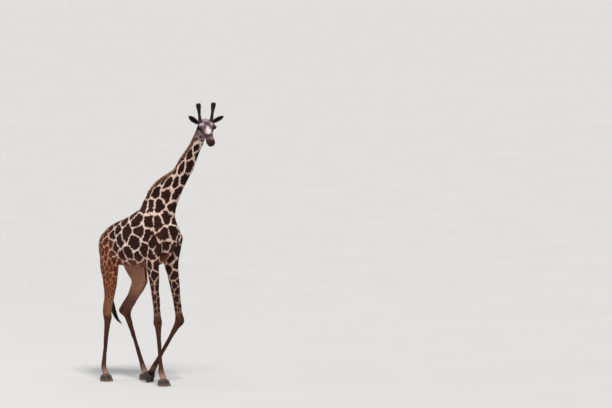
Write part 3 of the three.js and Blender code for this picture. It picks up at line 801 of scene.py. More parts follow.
def open_eyes(obj):
    """Pushes the skin back behind each eyeball inside its opening, and rolls lids over the ball."""
    h = to_head(vertices_of(obj.data))
    for side in (1, -1):
        middle = mirrored(EYE_AT, side)
        w = h - middle
        far = np.linalg.norm(w, axis=1)
        a, b = eye_angles(w, side)
        near = np.where((far < SHAPED_DISTANCE) & (np.hypot(a, b) < SHAPED_ANGLE))[0]
        a, b, far, w = a[near], b[near], far[near], w[near]
        upper, lower = lid_edges(a)
        inside = np.minimum(upper - b, b - lower) * MM_PER_DEGREE  # of the opening's edge
        lid = LID_RADIUS + 1.6 * roll(inside, 3.2, 2.4) + roll(inside, 11, 2.2) * (b > 0)
        crease = -1.6 * roll(inside, 7.6, 1.3)
        face = LID_RADIUS + np.maximum(-inside - 3, 0) * 0.42
        outer = np.maximum(np.minimum(far, face), lid + crease)
        target = outer + (SOCKET_RADIUS - outer) * smoothstep(inside, -0.6, 1.4)
        hold = smoothstep(np.hypot(a, b), SHAPED_ANGLE, HELD_ANGLE)
        h[near] = middle + w / far[:, None] * (far + (target - far) * hold)[:, None]
    set_vertices(obj, from_head(h))


# ---------- keeping the skin inside the CAD's flesh ----------

EYE_SPACE = 60  # round the eyes the lids stand free of the CAD
MOST_OUTSIDE, UNDER_SURFACE = 45, 1.5  # how far out a vertex may be, and how far in it is brought
MOST_CROSSINGS, PAST_FACE = 60, 0.05
SPREAD_ROUNDS = 3  # a move is spread over its neighbours


def flesh_nodes():
    other = ("eye", "ossicone", "mane", "tail_tuft")
    return [name for name in CAD if not name.startswith(other) and "claw" not in name]


def crossings(tree, start, way):
    """How many faces a ray crosses."""
    count, at = 0, Vector(start)
    while count < MOST_CROSSINGS:
        hit = tree.ray_cast(at, way)[0]
        if hit is None:
            return count
        count, at = count + 1, hit + way * PAST_FACE
    return count


def held_inside(obj):
    """Moves what stands outside the CAD solids of flesh to a little under their surface."""
    meshes = [CAD[name].data for name in flesh_nodes()]
    verts, tris = joined([((vertices_of(m) - SHIFT) * 1000, triangles_of(m)) for m in meshes])
    tree = BVHTree.FromPolygons(verts.tolist(), tris.tolist())
    way = Vector((0.31, 0.22, 0.925)).normalized()  # along no axis, so that it meets no edge
    p, edges = vertices_of(obj.data), edges_of(obj.data)
    free = np.minimum(*[np.linalg.norm(p - eye, axis=1) for eye in EYES]) < EYE_SPACE
    for _ in range(2):
        near = [tree.find_nearest(Vector(q)) for q in p]
        gap = np.array([h[3] for h in near])
        facing = np.array([(Vector(q) - h[0]).dot(h[1]) for q, h in zip(p, near)])
        doubtful = np.where((gap < MOST_OUTSIDE) & (facing > 0) & ~free)[0]
        outside = [i for i in doubtful if crossings(tree, p[i], way) % 2 == 0]
        move = np.zeros_like(p)
        for i in outside:
            spot = np.array(near[i][0])
            move[i] = spot - p[i] + unit(spot - p[i]) * UNDER_SURFACE
        spread = smoothed(move, edges, np.full(len(p), 0.5), SPREAD_ROUNDS)
        spread[outside] = move[outside]
        p = p + spread
    set_vertices(obj, p)


SKIN_TRIANGLES = 196000
EAR_INNER, EAR_OUTER, EAR_FRONT = 104, 124, -60  # where the ears begin in the head's frame
LID_REACH, LIP_REACH, LIPS_AT = 48, 90, [330, 0, -20]
SMOOTHING, LESS_ON_HEAD, LESS_ON_EARS, EARS_AGAIN = 0.6, 0.1, 0.5, 0.25
ROUNDS, BODY_ROUNDS = 14, 6


def make_skin():
    """The one skin, in body millimetres."""
    obj = base_skin()
    edges, p = edges_of(obj.data), vertices_of(obj.data)
    head, h = head_share(p), to_head(p)
    ear = smoothstep(np.abs(h[:, 1]), EAR_INNER, EAR_OUTER) * (h[:, 0] < EAR_FRONT)
    p = smoothed(p, edges, SMOOTHING - head * (LESS_ON_HEAD + LESS_ON_EARS * ear), ROUNDS)
    p = smoothed(p, edges, SMOOTHING * (1 - head) + EARS_AGAIN * head * ear, BODY_ROUNDS)
    set_vertices(obj, p)
    refine(obj, EYES, LID_REACH, 2)
    refine(obj, [from_head(LIPS_AT)], LIP_REACH, 1)
    sculpt(obj)
    held_inside(obj)
    open_eyes(obj)
    decimate = obj.modifiers.new("fewer", "DECIMATE")
    decimate.ratio = min(1, SKIN_TRIANGLES / sum(len(f.vertices) - 2 for f in obj.data.polygons))
    applied(obj)
    obj.data.polygons.foreach_set("use_smooth", np.ones(len(obj.data.polygons), bool))
    return obj


# ---------- where each point of the skin belongs ----------

LOFTS = {"trunk": TRUNK, "neck": NECK, "skull": SKULL, "jaw": JAW, "tail": TAIL,
         "ear_left": ear_loft("left"), "ear_right": ear_loft("right")}
LOFTS.update({f"{leg}_{part}": leg_parts(leg)[0][part] for leg in LEGS for part in BONE_LENGTHS})
PARTS = list(LOFTS)
REVERSED = ("trunk", "neck", "skull", "jaw")  # their coats lie from the end of the loft to its start
FAR = 9.0
SAMPLES = 61
BATCH = 20000
OVERLAP = 0.16  # how far the parts' shares run into one another
UNWRAP_COLUMNS = 5
UNWRAP_MARGIN = 0.04


class Places:
    """Where points lie on every loft of PARTS, a column each.

    out is how far a point is from the loft's line (1 is its surface), share its place along the loft, angle
    its place round it, centre the nearest point of its line, and weight how far the point belongs to it.
    """

    def __init__(self, p):
        shape = (len(p), len(PARTS))
        self.out, self.share, self.angle = np.full(shape, FAR), np.zeros(shape), np.zeros(shape)
        self.centre, ways = np.zeros((*shape, 3), np.float32), np.zeros((*shape, 3), np.float32)
        for k, name in enumerate(PARTS):
            self.measure(p, k, name, ways)
        weight = np.exp(-(self.out - self.out.min(1, keepdims=True)) / OVERLAP)
        self.weight = weight / weight.sum(1, keepdims=True)
        self.best = self.out.argmin(1)
        self.flow = (ways * self.weight[..., None]).sum(1)

    def measure(self, p, k, name, ways):
        """Fills the column of one loft, for the points that are near it."""
        u = np.linspace(0, 1, SAMPLES)
        centre, along, across, over, sizes = LOFTS[name].frames(u)
        reach = sizes.max() * 1.5 + 30
        near = np.where(((p > centre.min(0) - reach) & (p < centre.max(0) + reach)).all(1))[0]
        for part in np.array_split(near, max(1, len(near) // BATCH)):
            i = ((p[part][:, None] - centre[None]) ** 2).sum(2).argmin(1)
            d = p[part] - centre[i]
            ahead, a, b = ((d * way[i]).sum(1) for way in (along, across, over))
            wide, tall = sizes[i, 2], np.where(b > 0, sizes[i, 0], sizes[i, 1])
            past = np.where((i == 0) | (i == len(u) - 1), np.abs(ahead), 0) / sizes[i].mean(1)
            self.out[part, k] = np.sqrt((a / wide) ** 2 + (b / tall) ** 2 + past**2)
            self.share[part, k] = u[i]
            self.angle[part, k] = np.degrees(np.arctan2(b / tall, a / wide))
            self.centre[part, k] = centre[i]
            ways[part, k] = along[i] * (-1 if name in REVERSED else 1)

    def of(self, *names):
        """Total weight of the named parts; a name may be the start of several."""
        chosen = [k for k, part in enumerate(PARTS) if part.startswith(names)]
        return self.weight[:, chosen].sum(1)

    def along(self, name):
        return self.share[:, PARTS.index(name)]

    def height(self, name):
        """1 over a part's line, 0 beside it and -1 under it."""
        return np.sin(np.radians(self.angle[:, PARTS.index(name)]))

    def total(self, value_of):
        """A value of each part, summed by the parts' weights."""
        return sum(self.weight[:, k] * value_of(k, name) for k, name in enumerate(PARTS))

    def unwrap(self):
        """Each part's own cylinder, laid flat in its cell of a grid."""
        n = np.arange(len(self.best))
        cell = np.stack([self.best % UNWRAP_COLUMNS, self.best // UNWRAP_COLUMNS], 1)
        inside = np.stack([self.angle[n, self.best] / 360 + 0.5, self.share[n, self.best]], 1)
        return (cell + UNWRAP_MARGIN + (1 - 2 * UNWRAP_MARGIN) * inside) / UNWRAP_COLUMNS


def lie_of(p, n, places):
    """The way the coat lies: along each part, sinking down the flanks, and backward on the face."""
    way = unit(places.flow)
    down = places.of("trunk") * 0.55 + places.of("neck") * 0.25
    way = way - Z * down[:, None]
    way = way + 0.22 * noise_vectors(p, 160, (11, 12, 13))
    return unit(way - n * (way * n).sum(1, keepdims=True))


# ---------- the pattern of patches ----------

CELL_SIZES = {  # for each kind of part: shares along it, and how far apart the middles of patches are there
    "trunk": ([0, 0.15, 0.3, 0.5, 0.8, 1], [80, 94, 128, 162, 166, 145]),
    "neck": ([0, 0.3, 0.6, 1], [142, 130, 114, 104]), "skull": ([0, 1], [48, 40]), "jaw": ([0, 1], [44, 40]),
    "tail": ([0, 1], [60, 40]), "ear": ([0, 1], [40, 40]),
    "fore": ([0, 0.17, 0.33, 0.5, 0.67, 0.83, 1], [150, 150, 132, 106, 78, 56, 42]),
    "hind": ([0, 0.14, 0.28, 0.43, 0.6, 1], [96, 82, 62, 50, 42, 36]),
}
MOST_SEEDS_TRIED = 26000
EDGE_SHARPNESS = 22
HEAD_NECK_LINE = (-215, -175)  # in the head's frame, the neck is plain above these heights
PLAIN_DEPTH = 400  # how far outside any patch the plain places are


def cell_size(places):
    def size(k, name):
        end = name.endswith(("cannon", "pastern"))
        return np.interp(1 if end else places.share[:, k], *CELL_SIZES[name.split("_")[0]])

    return places.total(size)


def pattern_space(p, places):
    """The points in a space where patches are round: they get narrow up the neck and short along the body."""
    neck = PARTS.index("neck")
    weight = places.weight[:, neck]
    up_neck = smoothstep(places.along("neck"), 0.12, 0.4)
    ridge = smoothstep(places.height("neck"), 0.35, 0.95) * up_neck
    swell = (0.2 + 0.9 * ridge) * up_neck * weight
    climb = places.centre[:, neck] - NECK.stations[1, :3]
    q = p * [1.2, 1, 1] + (p - places.centre[:, neck]) * swell[:, None]
    return q - 0.28 * climb * (up_neck * weight)[:, None]


def seeds_of(q, size):
    """Middles of patches: points that keep their distance from one another."""
    seeds, radii = np.empty((0, 3)), np.empty(0)
    for i in np.random.default_rng(21).permutation(len(q))[:MOST_SEEDS_TRIED]:
        if not len(seeds) or (np.linalg.norm(seeds - q[i], axis=1) > (radii + size[i]) / 2).all():
            seeds, radii = np.vstack([seeds, q[i]]), np.append(radii, size[i])
    return seeds


def cells(w, seeds):
    """For each point its nearest seed, and how far it is inside that seed's cell against the next three."""
    tree = KDTree(len(seeds))
    for i, s in enumerate(seeds):
        tree.insert(s, i)
    tree.balance()
    index = np.array([[found[1] for found in tree.find_n(v, 4)] for v in w])
    first = seeds[index[:, 0]]
    own = ((w - first) ** 2).sum(1)
    gaps = []
    for j in (1, 2, 3):
        other = seeds[index[:, j]]
        gaps.append((((w - other) ** 2).sum(1) - own) / (2 * np.linalg.norm(other - first, axis=1)))
    return index[:, 0], np.stack(gaps, 1)


def plain_share(p, places):
    """1 where the coat has no patches: ears, head, top of the neck and lower legs."""
    legs = np.sum([places.of(leg + part) for leg in LEGS for part in ("_cannon", "_pastern")], 0)
    top = places.of("neck") * smoothstep(to_head(p)[:, 2], *HEAD_NECK_LINE)
    return smoothstep(places.of("ear") + legs + (places.of("skull", "jaw") + top), 0.35, 0.65)


def patches(p, places):
    """Millimetres that each point is inside a patch (below 0 on the pale net), and its patch's own shade."""
    size = cell_size(places)
    q = pattern_space(p, places)
    seeds = seeds_of(q, size)
    scaled = q / size[:, None]
    lobes, frills = noise_vectors(scaled, 0.42, (31, 32, 33)), noise_vectors(scaled, 0.16, (34, 35, 36))
    cell, gaps = cells(q + (0.055 * lobes + 0.014 * frills) * size[:, None], seeds)
    edge = -np.log(np.exp(-gaps / size[:, None] * EDGE_SHARPNESS).sum(1)) / EDGE_SHARPNESS
    notch = 1 - smoothstep(np.abs(smooth_noise(scaled, 0.3, 37)), 0, 0.3)
    edge = edge - 0.09 * notch * (1 - smoothstep(edge, 0.10, 0.28))
    shade = np.random.default_rng(5).uniform(-1, 1, len(seeds))[cell]
    return edge * size - PLAIN_DEPTH * plain_share(p, places), shade


# ---------- the coat's colours ----------

BODY_LOOKS = {  # for each kind of part: colour of the patches, colour of the net, half the net's width
    "trunk": ((45, 24, 19), (246, 222, 208), 9.5), "neck": ((37, 19, 15), (240, 212, 196), 12.5),
    "skull": ((60, 42, 44), (128, 102, 100), 6), "jaw": ((62, 42, 42), (140, 108, 100), 6),
    "tail": ((58, 34, 26), (150, 104, 80), 8), "ear": ((60, 46, 46), (118, 92, 80), 6),
    "fore": ((42, 24, 20), (224, 190, 172), 9), "hind": ((80, 44, 28), (186, 134, 100), 6.5),
}
HIND_PLAIN, FORE_PLAIN = (100, 62, 46), (84, 50, 37)  # where a leg's patches have ended
SHIN_PLACES = [0, 0.15, 0.55, 0.9, 1]  # shares down the cannon; its first colour is the plain one above it
SHIN_COLOURS = (92, 53, 39), (72, 40, 30), (88, 54, 44), (134, 96, 84)
# The second and third values are painted shade: the lifted left fore foot, in shadow behind the others, gets
# near-black toes, claws and lower cannon.
TOES, SHADOWED_TOES, SHADOWED_LEG = (176, 134, 118), (36, 24, 22), "fore_left"
FACE = [  # (middle, radii, sRGB, strength, on both sides) in the order they are laid
    ((90, 0, 0), (500, 300, 300), (110, 88, 94), 1.0, False),
    ((20, 0, -132), (210, 90, 46), (158, 122, 104), 0.9, False),  # throat
    ((-60, 86, -40), (60, 46, 50), (112, 86, 84), 0.8, True),
    ((-92, 0, 90), (60, 84, 62), (204, 178, 178), 1.0, False),  # crown between the horns
    ((-18, 82, 60), (46, 38, 29), (208, 192, 198), 0.95, True),  # brow
    ((20, 58, 66), (26, 22, 20), (182, 162, 172), 0.8, True),
    ((2, -4, 80), (46, 38, 34), (86, 70, 88), 0.95, False),  # forehead
    ((100, 84, -30), (74, 32, 42), (122, 102, 114), 0.85, True),
    ((20, 122, -2), (46, 40, 27), (20, 15, 17), 1.0, True),  # round the eye
    ((24, 112, 32), (42, 36, 24), (22, 17, 19), 1.0, True),
    ((50, 104, 14), (38, 38, 28), (24, 18, 20), 1.0, True),
    ((78, 84, 8), (34, 26, 24), (50, 38, 44), 0.9, True),
    ((56, 62, 56), (22, 18, 16), (96, 78, 88), 0.7, True),
    ((136, -4, 48), (50, 50, 44), (230, 212, 212), 1.0, False),  # blaze
    ((84, -4, 64), (42, 27, 30), (242, 230, 232), 0.95, False),
    ((116, 10, 58), (36, 30, 40), (246, 236, 234), 1.0, False),
    ((106, -34, 50), (17, 7, 20), (92, 70, 80), 0.85, False),
    ((144, -16, 44), (11, 6, 18), (112, 88, 94), 0.8, False),
    ((126, 32, 44), (15, 6, 18), (96, 74, 82), 0.8, False),
    ((90, 14, 62), (12, 5, 16), (124, 100, 108), 0.75, False),
    ((164, 12, 38), (10, 10, 14), (100, 74, 80), 0.8, False),
    ((168, -34, 32), (16, 8, 16), (84, 60, 68), 0.8, False),
    ((168, 60, 10), (52, 24, 26), (50, 35, 40), 0.95, True),
    ((112, 78, -2), (26, 16, 14), (64, 48, 54), 0.85, True),
    ((84, 84, -56), (24, 20, 15), (60, 45, 48), 0.8, True),
    ((36, 86, -60), (20, 18, 13), (58, 44, 46), 0.8, True),
    ((134, 70, -54), (22, 16, 12), (56, 42, 45), 0.8, True),
    ((-10, 94, -48), (22, 16, 13), (58, 44, 46), 0.75, True),
    ((-58, 94, -20), (20, 18, 17), (60, 44, 44), 0.75, True),
    ((-52, 90, -64), (22, 18, 15), (60, 44, 44), 0.7, True),
    ((-84, 84, 20), (18, 22, 18), (66, 48, 50), 0.7, True),
    ((60, 60, -92), (110, 26, 9), (196, 168, 158), 0.7, True),  # pale line along the jaw
    ((212, -8, 24), (26, 66, 36), (46, 30, 33), 0.95, False),  # dark bar over the nose
    ((335, 0, -26), (98, 120, 90), (46, 24, 22), 1.0, False),  # muzzle
    ((260, 18, 20), (36, 28, 24), (164, 124, 114), 0.85, False),  # middle of the nose
    ((308, 64, 2), (22, 12, 13), (14, 9, 9), 1.0, True),  # nostrils
    ((318, 0, -96), (40, 34, 22), (112, 82, 74), 0.7, False),  # chin
]


class Coat:
    """At each point the linear colours of patches (dark) and net (light), and half the net's width."""

    def __init__(self, places):
        self.dark = self.light = self.half = 0
        for k, name in enumerate(PARTS):
            weight = places.weight[:, k]
            patch, net, half = BODY_LOOKS[name.split("_")[0]]
            self.dark = self.dark + weight[:, None] * srgb(*patch)
            self.light = self.light + weight[:, None] * srgb(*net)
            self.half = self.half + weight * half

    def lay(self, share, dark=None, light=None):
        """Lays colours over the patches, the net, or both."""
        if dark is not None:
            self.dark = blended(self.dark, dark, share)
        if light is not None:
            self.light = blended(self.light, light, share)

    def lay_both(self, share, colour):
        self.lay(share, colour, colour)

    def shade(self, by):
        self.dark, self.light = self.dark * by[:, None], self.light * by[:, None]


def at_side(h, at, radii, strength, both):
    """How strongly a soft spot of the head's frame covers each point."""
    total = np.zeros(len(h))
    for side in ((1, -1) if both else (1,)):
        d = (h - mirrored(at, side)) / radii
        total = np.maximum(total, strength * np.exp(-((d**2).sum(1) ** 2)))
    return total


def colour_body(coat, p, places, n):
    """A painted highlight of sunlight on the top of the back (a paler net and redder patches) and on the
    neck's crest (browner patches); a warm rump and a plain belly.
    """
    x, z = p[:, 0], p[:, 2]
    trunk, neck = places.of("trunk"), places.of("neck")
    # painted highlight: the top of the back gets a paler net and redder patches, as where sunlight falls on
    # it
    back = trunk * smoothstep(z - (2250 + 0.32 * (x + 400)), -60, 110)
    coat.lay(0.8 * back, light=srgb(252, 238, 230))
    coat.lay(0.45 * back, dark=srgb(96, 60, 46))
    rump = smoothstep(-x, 440, 640) * (trunk + places.of("hind"))
    coat.lay(0.75 * rump, dark=srgb(84, 46, 30))
    coat.lay(0.8 * rump, light=srgb(226, 184, 156))
    under = trunk * smoothstep(-n[:, 2], 0.35, 0.9)
    coat.lay(under, light=srgb(196, 150, 124))
    coat.lay(0.7 * under, dark=srgb(132, 86, 66))
    # painted highlight: the patches along the top of the neck are made browner, as where sun falls on them;
    # the narrower net there is the pattern's own
    crest = neck * smoothstep(places.height("neck"), 0.55, 0.95)
    coat.lay(0.6 * crest, dark=srgb(74, 42, 30))
    coat.half = coat.half * (1 - 0.3 * rump) * (1 - 0.4 * crest)


def colour_fore_upper(coat, upper, share):
    """Colours the patched part of a foreleg. Gives the plain colour at its end, and where it covers."""
    coat.lay(upper * smoothstep(share, 0.4, 0.85), light=srgb(160, 118, 98))
    coat.half = coat.half * (1 - 0.35 * upper * smoothstep(share, 0.35, 0.6))
    return srgb(*FORE_PLAIN), upper * smoothstep(share, 0.82, 0.96)


def colour_hind_upper(coat, upper, share, inner, pale):
    """The same for a hind leg, plain on its inner side too; a pale leg is lighter there, and darker below."""
    bare = upper * np.maximum(0.92 * inner * smoothstep(share, 0.1, 0.3), 0.5 * smoothstep(share, 0.5, 0.8))
    bare = np.maximum(bare, upper * smoothstep(share, 0.86, 0.99))
    coat.lay(upper * smoothstep(share, 0.2, 0.45), light=srgb(166, 112, 76))
    if not pale:
        return srgb(*HIND_PLAIN), bare
    low = smoothstep(share, 0.42, 0.75)
    coat.lay(0.8 * upper * low, dark=srgb(78, 54, 48))
    coat.lay(upper * low, light=srgb(150, 116, 100))
    return blended(srgb(196, 142, 118), srgb(114, 74, 62), low), bare


def shin_colours(down, first, painted_shade):
    """Colours of the cannon by the share down it, with painted shade on its lower part for the shadowed leg.
    """
    rows = [srgb(*first)] + [srgb(*colour) for colour in SHIN_COLOURS]
    shin = np.stack([np.interp(down, SHIN_PLACES, channel) for channel in zip(*rows)], 1)
    # painted shade darkens the lower cannon of the shadowed leg
    return shin * (1 - 0.45 * painted_shade * smoothstep(down, 0.3, 1))[:, None]


def colour_leg(coat, leg, places, n, spots):
    """Patches that end above the knee or hock, and mottled brown from there to paler toes."""
    hind, painted_shade = leg.startswith("hind"), leg == SHADOWED_LEG
    upper, cannon, foot = (places.of(leg + part) for part in ("_upper", "_cannon", "_pastern"))
    share, down, end = (places.along(leg + part) for part in ("_upper", "_cannon", "_pastern"))
    inner = smoothstep(n[:, 1] * (1 if leg.endswith("right") else -1), 0.15, 0.6)
    if hind:
        plain, bare = colour_hind_upper(coat, upper, share, inner, pale=leg.endswith("left"))
    else:
        plain, bare = colour_fore_upper(coat, upper, share)
    coat.half = coat.half + 80 * bare**2
    coat.lay(bare, plain * 0.62, plain)
    shin = shin_colours(down, HIND_PLAIN if hind else FORE_PLAIN, painted_shade)
    # the shadowed fore foot's toes take a near-black painted shade instead of the dusty pink
    toe = blended(shin, srgb(*(SHADOWED_TOES if painted_shade else TOES)), smoothstep(end, 0.05, 0.6) * foot)
    coat.lay_both(cannon + foot + upper * smoothstep(share, 0.88, 0.97), toe)
    joint = upper * smoothstep(share, 0.8, 0.95) + cannon * (1 - smoothstep(down, 0.1, 0.35))
    blotch = (1 - 0.5 * joint * spots["joint"]) * (1 - 0.22 * cannon * spots["cannon"])
    if hind:
        blotch = blotch * (1 - 0.3 * upper * bare * spots["thigh"])
    coat.shade(blotch)


def colour_head(coat, p, places):
    """The spots of FACE with wavy edges, a mottled muzzle, and grey flecks where the head meets the neck."""
    h = to_head(p)
    drawn = h + 5 * noise_vectors(h, 17, (73, 74, 75)) + 3 * noise_vectors(h, 8, (76, 77, 78))
    skin = coat.light
    for at, radii, colour, strength, both in FACE:
        skin = blended(skin, srgb(*colour), at_side(drawn, at, radii, strength, both))
    mottle = smoothstep(smooth_noise(h, 15, 71), 0.5, 1.3) * smoothstep(100 - h[:, 0], -60, 60) * 0.5
    skin = skin * (1 - 0.45 * mottle - 0.10 * smooth_noise(h, 7, 72).clip(-1, 1))[:, None]
    flecks = smoothstep(smooth_noise(p * [1, 1, 0.7], 17, 79), -0.6, 0.2)
    grey = blended(srgb(156, 132, 132), srgb(60, 44, 46), 0.85 * flecks)
    coat.lay(places.of("neck") * smoothstep(h[:, 2], -230, -165), light=grey)
    coat.lay_both(places.of("skull", "jaw"), skin)


def colour_ear(coat, name, places):
    """A pale rim, a black bowl and a dark tip."""
    k = PARTS.index(name)
    here, out = places.weight[:, k], places.out[:, k]
    rim = here * (1 - smoothstep(np.abs(places.height(name)), 0.30, 0.62)) * smoothstep(out, 0.7, 0.85)
    coat.lay_both(rim, srgb(198, 178, 176))
    coat.lay_both(here * smoothstep(0.80 - out, -0.02, 0.06), srgb(30, 22, 24))
    coat.lay_both(0.8 * (here * smoothstep(places.along(name), 0.86, 1)), srgb(40, 30, 32))


def coat_colours(p, places, n):
    coat = Coat(places)
    colour_body(coat, p, places, n)
    spots = {"joint": smoothstep(smooth_noise(p, 26, 81), 0.0, 0.8),
             "cannon": smoothstep(smooth_noise(p * [1, 1, 0.35], 16, 82), 0.0, 1.0),
             "thigh": smoothstep(smooth_noise(p, 13, 83), 0, 0.9)}
    for leg in LEGS:
        colour_leg(coat, leg, places, n, spots)
    coat.lay(places.of("tail") * smoothstep(places.along("tail"), 0.7, 1), srgb(26, 18, 16), srgb(40, 28, 24))
    colour_head(coat, p, places)
    for side in SIDES:
        colour_ear(coat, "ear_" + side, places)
    return coat


COAT_VALUES = {"edge": "FLOAT", "shade": "FLOAT", "dark": "FLOAT_COLOR", "light": "FLOAT_COLOR",
               "root": "FLOAT_VECTOR"}


def coat_values(p, n, places):
    """All that the coat's material reads, at each point of the skin."""
    edge, shade = patches(p, places)
    coat = coat_colours(p, places, n)
    edge = (edge - coat.half) / 1000
    return {"edge": edge, "shade": shade, "dark": coat.dark, "light": coat.light, "root": to_scene(p)}


# ---------- materials ----------

class Nodes:
    """Short words for building a material's nodes."""

    def __init__(self, name):
        self.material = bpy.data.materials.new(name)
        self.material.use_nodes = True
        self.tree = self.material.node_tree
        self.tree.nodes.clear()
        self.shader = self.add("BsdfPrincipled")
        self.tree.links.new(self.shader.outputs[0], self.add("OutputMaterial").inputs[0])

    def add(self, kind, **inputs):
        """A node with some inputs set, each told by its name, or by i and its number."""
        node = self.tree.nodes.new("ShaderNode" + kind)
        for name, value in inputs.items():
            self.set(node.inputs[int(name[1:]) if name[1:].isdigit() else name], value)
        return node

    def set(self, socket, value):
        if isinstance(value, bpy.types.NodeSocket):
            self.tree.links.new(value, socket)
        elif isinstance(value, tuple) and len(value) == 3 and socket.type == "RGBA":
            socket.default_value = (*value, 1)
        else:
            socket.default_value = value

    def attribute(self, name, output="Fac"):
        node = self.add("Attribute")
        node.attribute_name = name
        return node.outputs[output]

    def math(self, operation, a, b=0.0, clamp=False):
        node = self.add("Math", i0=a, i1=b)
        node.operation, node.use_clamp = operation, clamp
        return node.outputs[0]

    def times(self, a, b):
        return self.math("MULTIPLY", a, b)

    def mapped(self, value, low, high, to_low=0.0, to_high=1.0):
        """A soft step of a value from low to high; low may be the larger one."""
        node = self.add("MapRange", i0=value, i1=low, i2=high, i3=to_low, i4=to_high)
        node.interpolation_type = "SMOOTHSTEP"
        return node.outputs[0]

    def mix(self, share, a, b, blend="MIX"):
        node = self.add("Mix")
        node.data_type, node.blend_type = "RGBA", blend
        for socket, value in ((node.inputs[0], share), (node.inputs[6], a), (node.inputs[7], b)):
            self.set(socket, value)
        return node.outputs[2]

    def tinted(self, share, colour, tint):
        """A colour multiplied by a tint, where share is 1."""
        return self.mix(share, colour, self.mix(1.0, colour, tint, "MULTIPLY"))

    def noise(self, vector, scale, detail=3.0):
        return self.add("TexNoise", Vector=vector, Scale=scale, Detail=detail, Roughness=0.55).outputs["Fac"]

    def wobble(self, vector, scale, detail, size):
        """Noise about 0 of a given size."""
        return self.times(self.math("SUBTRACT", self.noise(vector, scale, detail), 0.5), size)

    def objects(self):
        return self.add("TexCoord").outputs["Object"]

    def bump(self, height, strength, distance, **before):
        return self.add("Bump", Strength=strength, Distance=distance, Height=height, **before).outputs[0]

    def finish(self, colour, roughness, specular, normal=None):
        values = {"Base Color": colour, "Roughness": roughness, "Specular IOR Level": specular}
        if normal is not None:
            values["Normal"] = normal
        for name, value in values.items():
            self.set(self.shader.inputs[name], value)
        return self.material


def patch_colour(k, root, inside):
    """Chestnut, warmer and lighter from patch to patch and towards a patch's rim."""
    colour = k.attribute("dark", "Color")
    warm = k.mix(1.0, colour, (1.0, 0.66, 0.5), "MULTIPLY")
    colour = k.tinted(k.times(k.mapped(inside, 0.004, 0.040, 1.0, 0.0), 0.55), colour, (1.75, 1.35, 1.15))
    colour = k.mix(k.mapped(k.noise(root, 11), 0.35, 0.7, 0.0, 0.35), colour, warm)
    return k.tinted(k.mapped(k.attribute("shade"), -0.6, 1, 0.0, 0.75), colour, (1.7, 1.38, 1.22))


def net_colour(k, root, inside):
    """The pale net, tanned here and there and along the patches."""
    colour = k.attribute("light", "Color")
    tan = k.mix(1.0, colour, (0.82, 0.68, 0.58), "MULTIPLY")
    colour = k.mix(k.mapped(k.noise(root, 9, 4), 0.36, 0.72, 0.0, 0.35), colour, tan)
    return k.mix(k.mapped(inside, -0.009, -0.002, 0.0, 0.35), colour, tan)


def coat_material(name, tufts=False):
    """Patches of chestnut on a pale net; the same on the skin and on the tufts."""
    k = Nodes(name)
    root = k.attribute("root", "Vector")
    ragged = k.math("ADD", k.wobble(root, 42, 3, 0.020), k.wobble(root, 150, 2, 0.010))
    inside = k.math("ADD", k.attribute("edge"), ragged)  # metres inside a patch
    patch = k.mapped(inside, -0.0024, 0.0024)
    colour = k.mix(patch, net_colour(k, root, inside), patch_colour(k, root, inside))
    fine = k.noise(root, 420, 2)
    colour = k.tinted(k.mapped(fine, 0.3, 0.75, 0.0, 0.16), colour, (0.55, 0.52, 0.5))
    if tufts:
        colour = k.tinted(k.mapped(k.attribute("own"), 0, 1, 0.0, 0.30), colour, (0.50, 0.47, 0.45))
        return k.finish(colour, 0.75, 0.14)
    bumped = k.bump(k.noise(root, 260), 0.35, 0.0016, Normal=k.bump(k.noise(root, 60), 0.25, 0.003))
    return k.finish(colour, k.mapped(fine, 0.2, 0.8, 0.62, 0.78), 0.12, bumped)


def eye_material():
    """A nearly black iris with a level pupil, and a brown white; the angles from the gaze are degrees."""
    k = Nodes("eye")
    out = k.attribute("from_gaze")
    grain = k.noise(k.attribute("round_gaze", "Vector"), 30)
    iris = k.mix(grain, (0.010, 0.005, 0.003), (0.045, 0.020, 0.009))
    iris = k.mix(k.mapped(out, 24, 31), iris, (0.004, 0.003, 0.003))
    colour = k.mix(k.mapped(k.attribute("from_pupil"), 0.92, 1.08), (0.002, 0.002, 0.003), iris)
    white = k.mix(k.noise(k.objects(), 90, 4), (0.07, 0.035, 0.026), (0.16, 0.09, 0.07))
    return k.finish(k.mix(k.mapped(out, 33, 46), colour, white), 0.1, 0.14)


def horn_material(name, tufts=False):
    """Black hair on the horns, brown towards the foot, with bare grey horn at the very tip."""
    k = Nodes(name)
    p = k.attribute("root", "Vector")
    foot = k.mix(k.noise(p, 90), (0.050, 0.032, 0.028), (0.14, 0.095, 0.08))
    black = k.mix(k.noise(p, 60), (0.004, 0.003, 0.003), (0.016, 0.012, 0.011))
    ragged = k.math("ADD", k.attribute("up"), k.wobble(p, 80, 2, 0.25))
    colour = k.mix(k.mapped(ragged, 0.04, 0.26), foot, black)
    if tufts:
        colour = k.tinted(k.mapped(k.attribute("own"), 0, 1, 0, 0.4), colour, (0.4, 0.4, 0.4))
        return k.finish(colour, 0.62, 0.35)
    bald = k.mix(k.noise(p, 140), (0.035, 0.030, 0.030), (0.085, 0.075, 0.07))
    colour = k.mix(k.mapped(ragged, 0.98, 1.04), colour, bald)
    return k.finish(colour, 0.6, 0.3, k.bump(k.noise(p, 300), 0.4, 0.002))


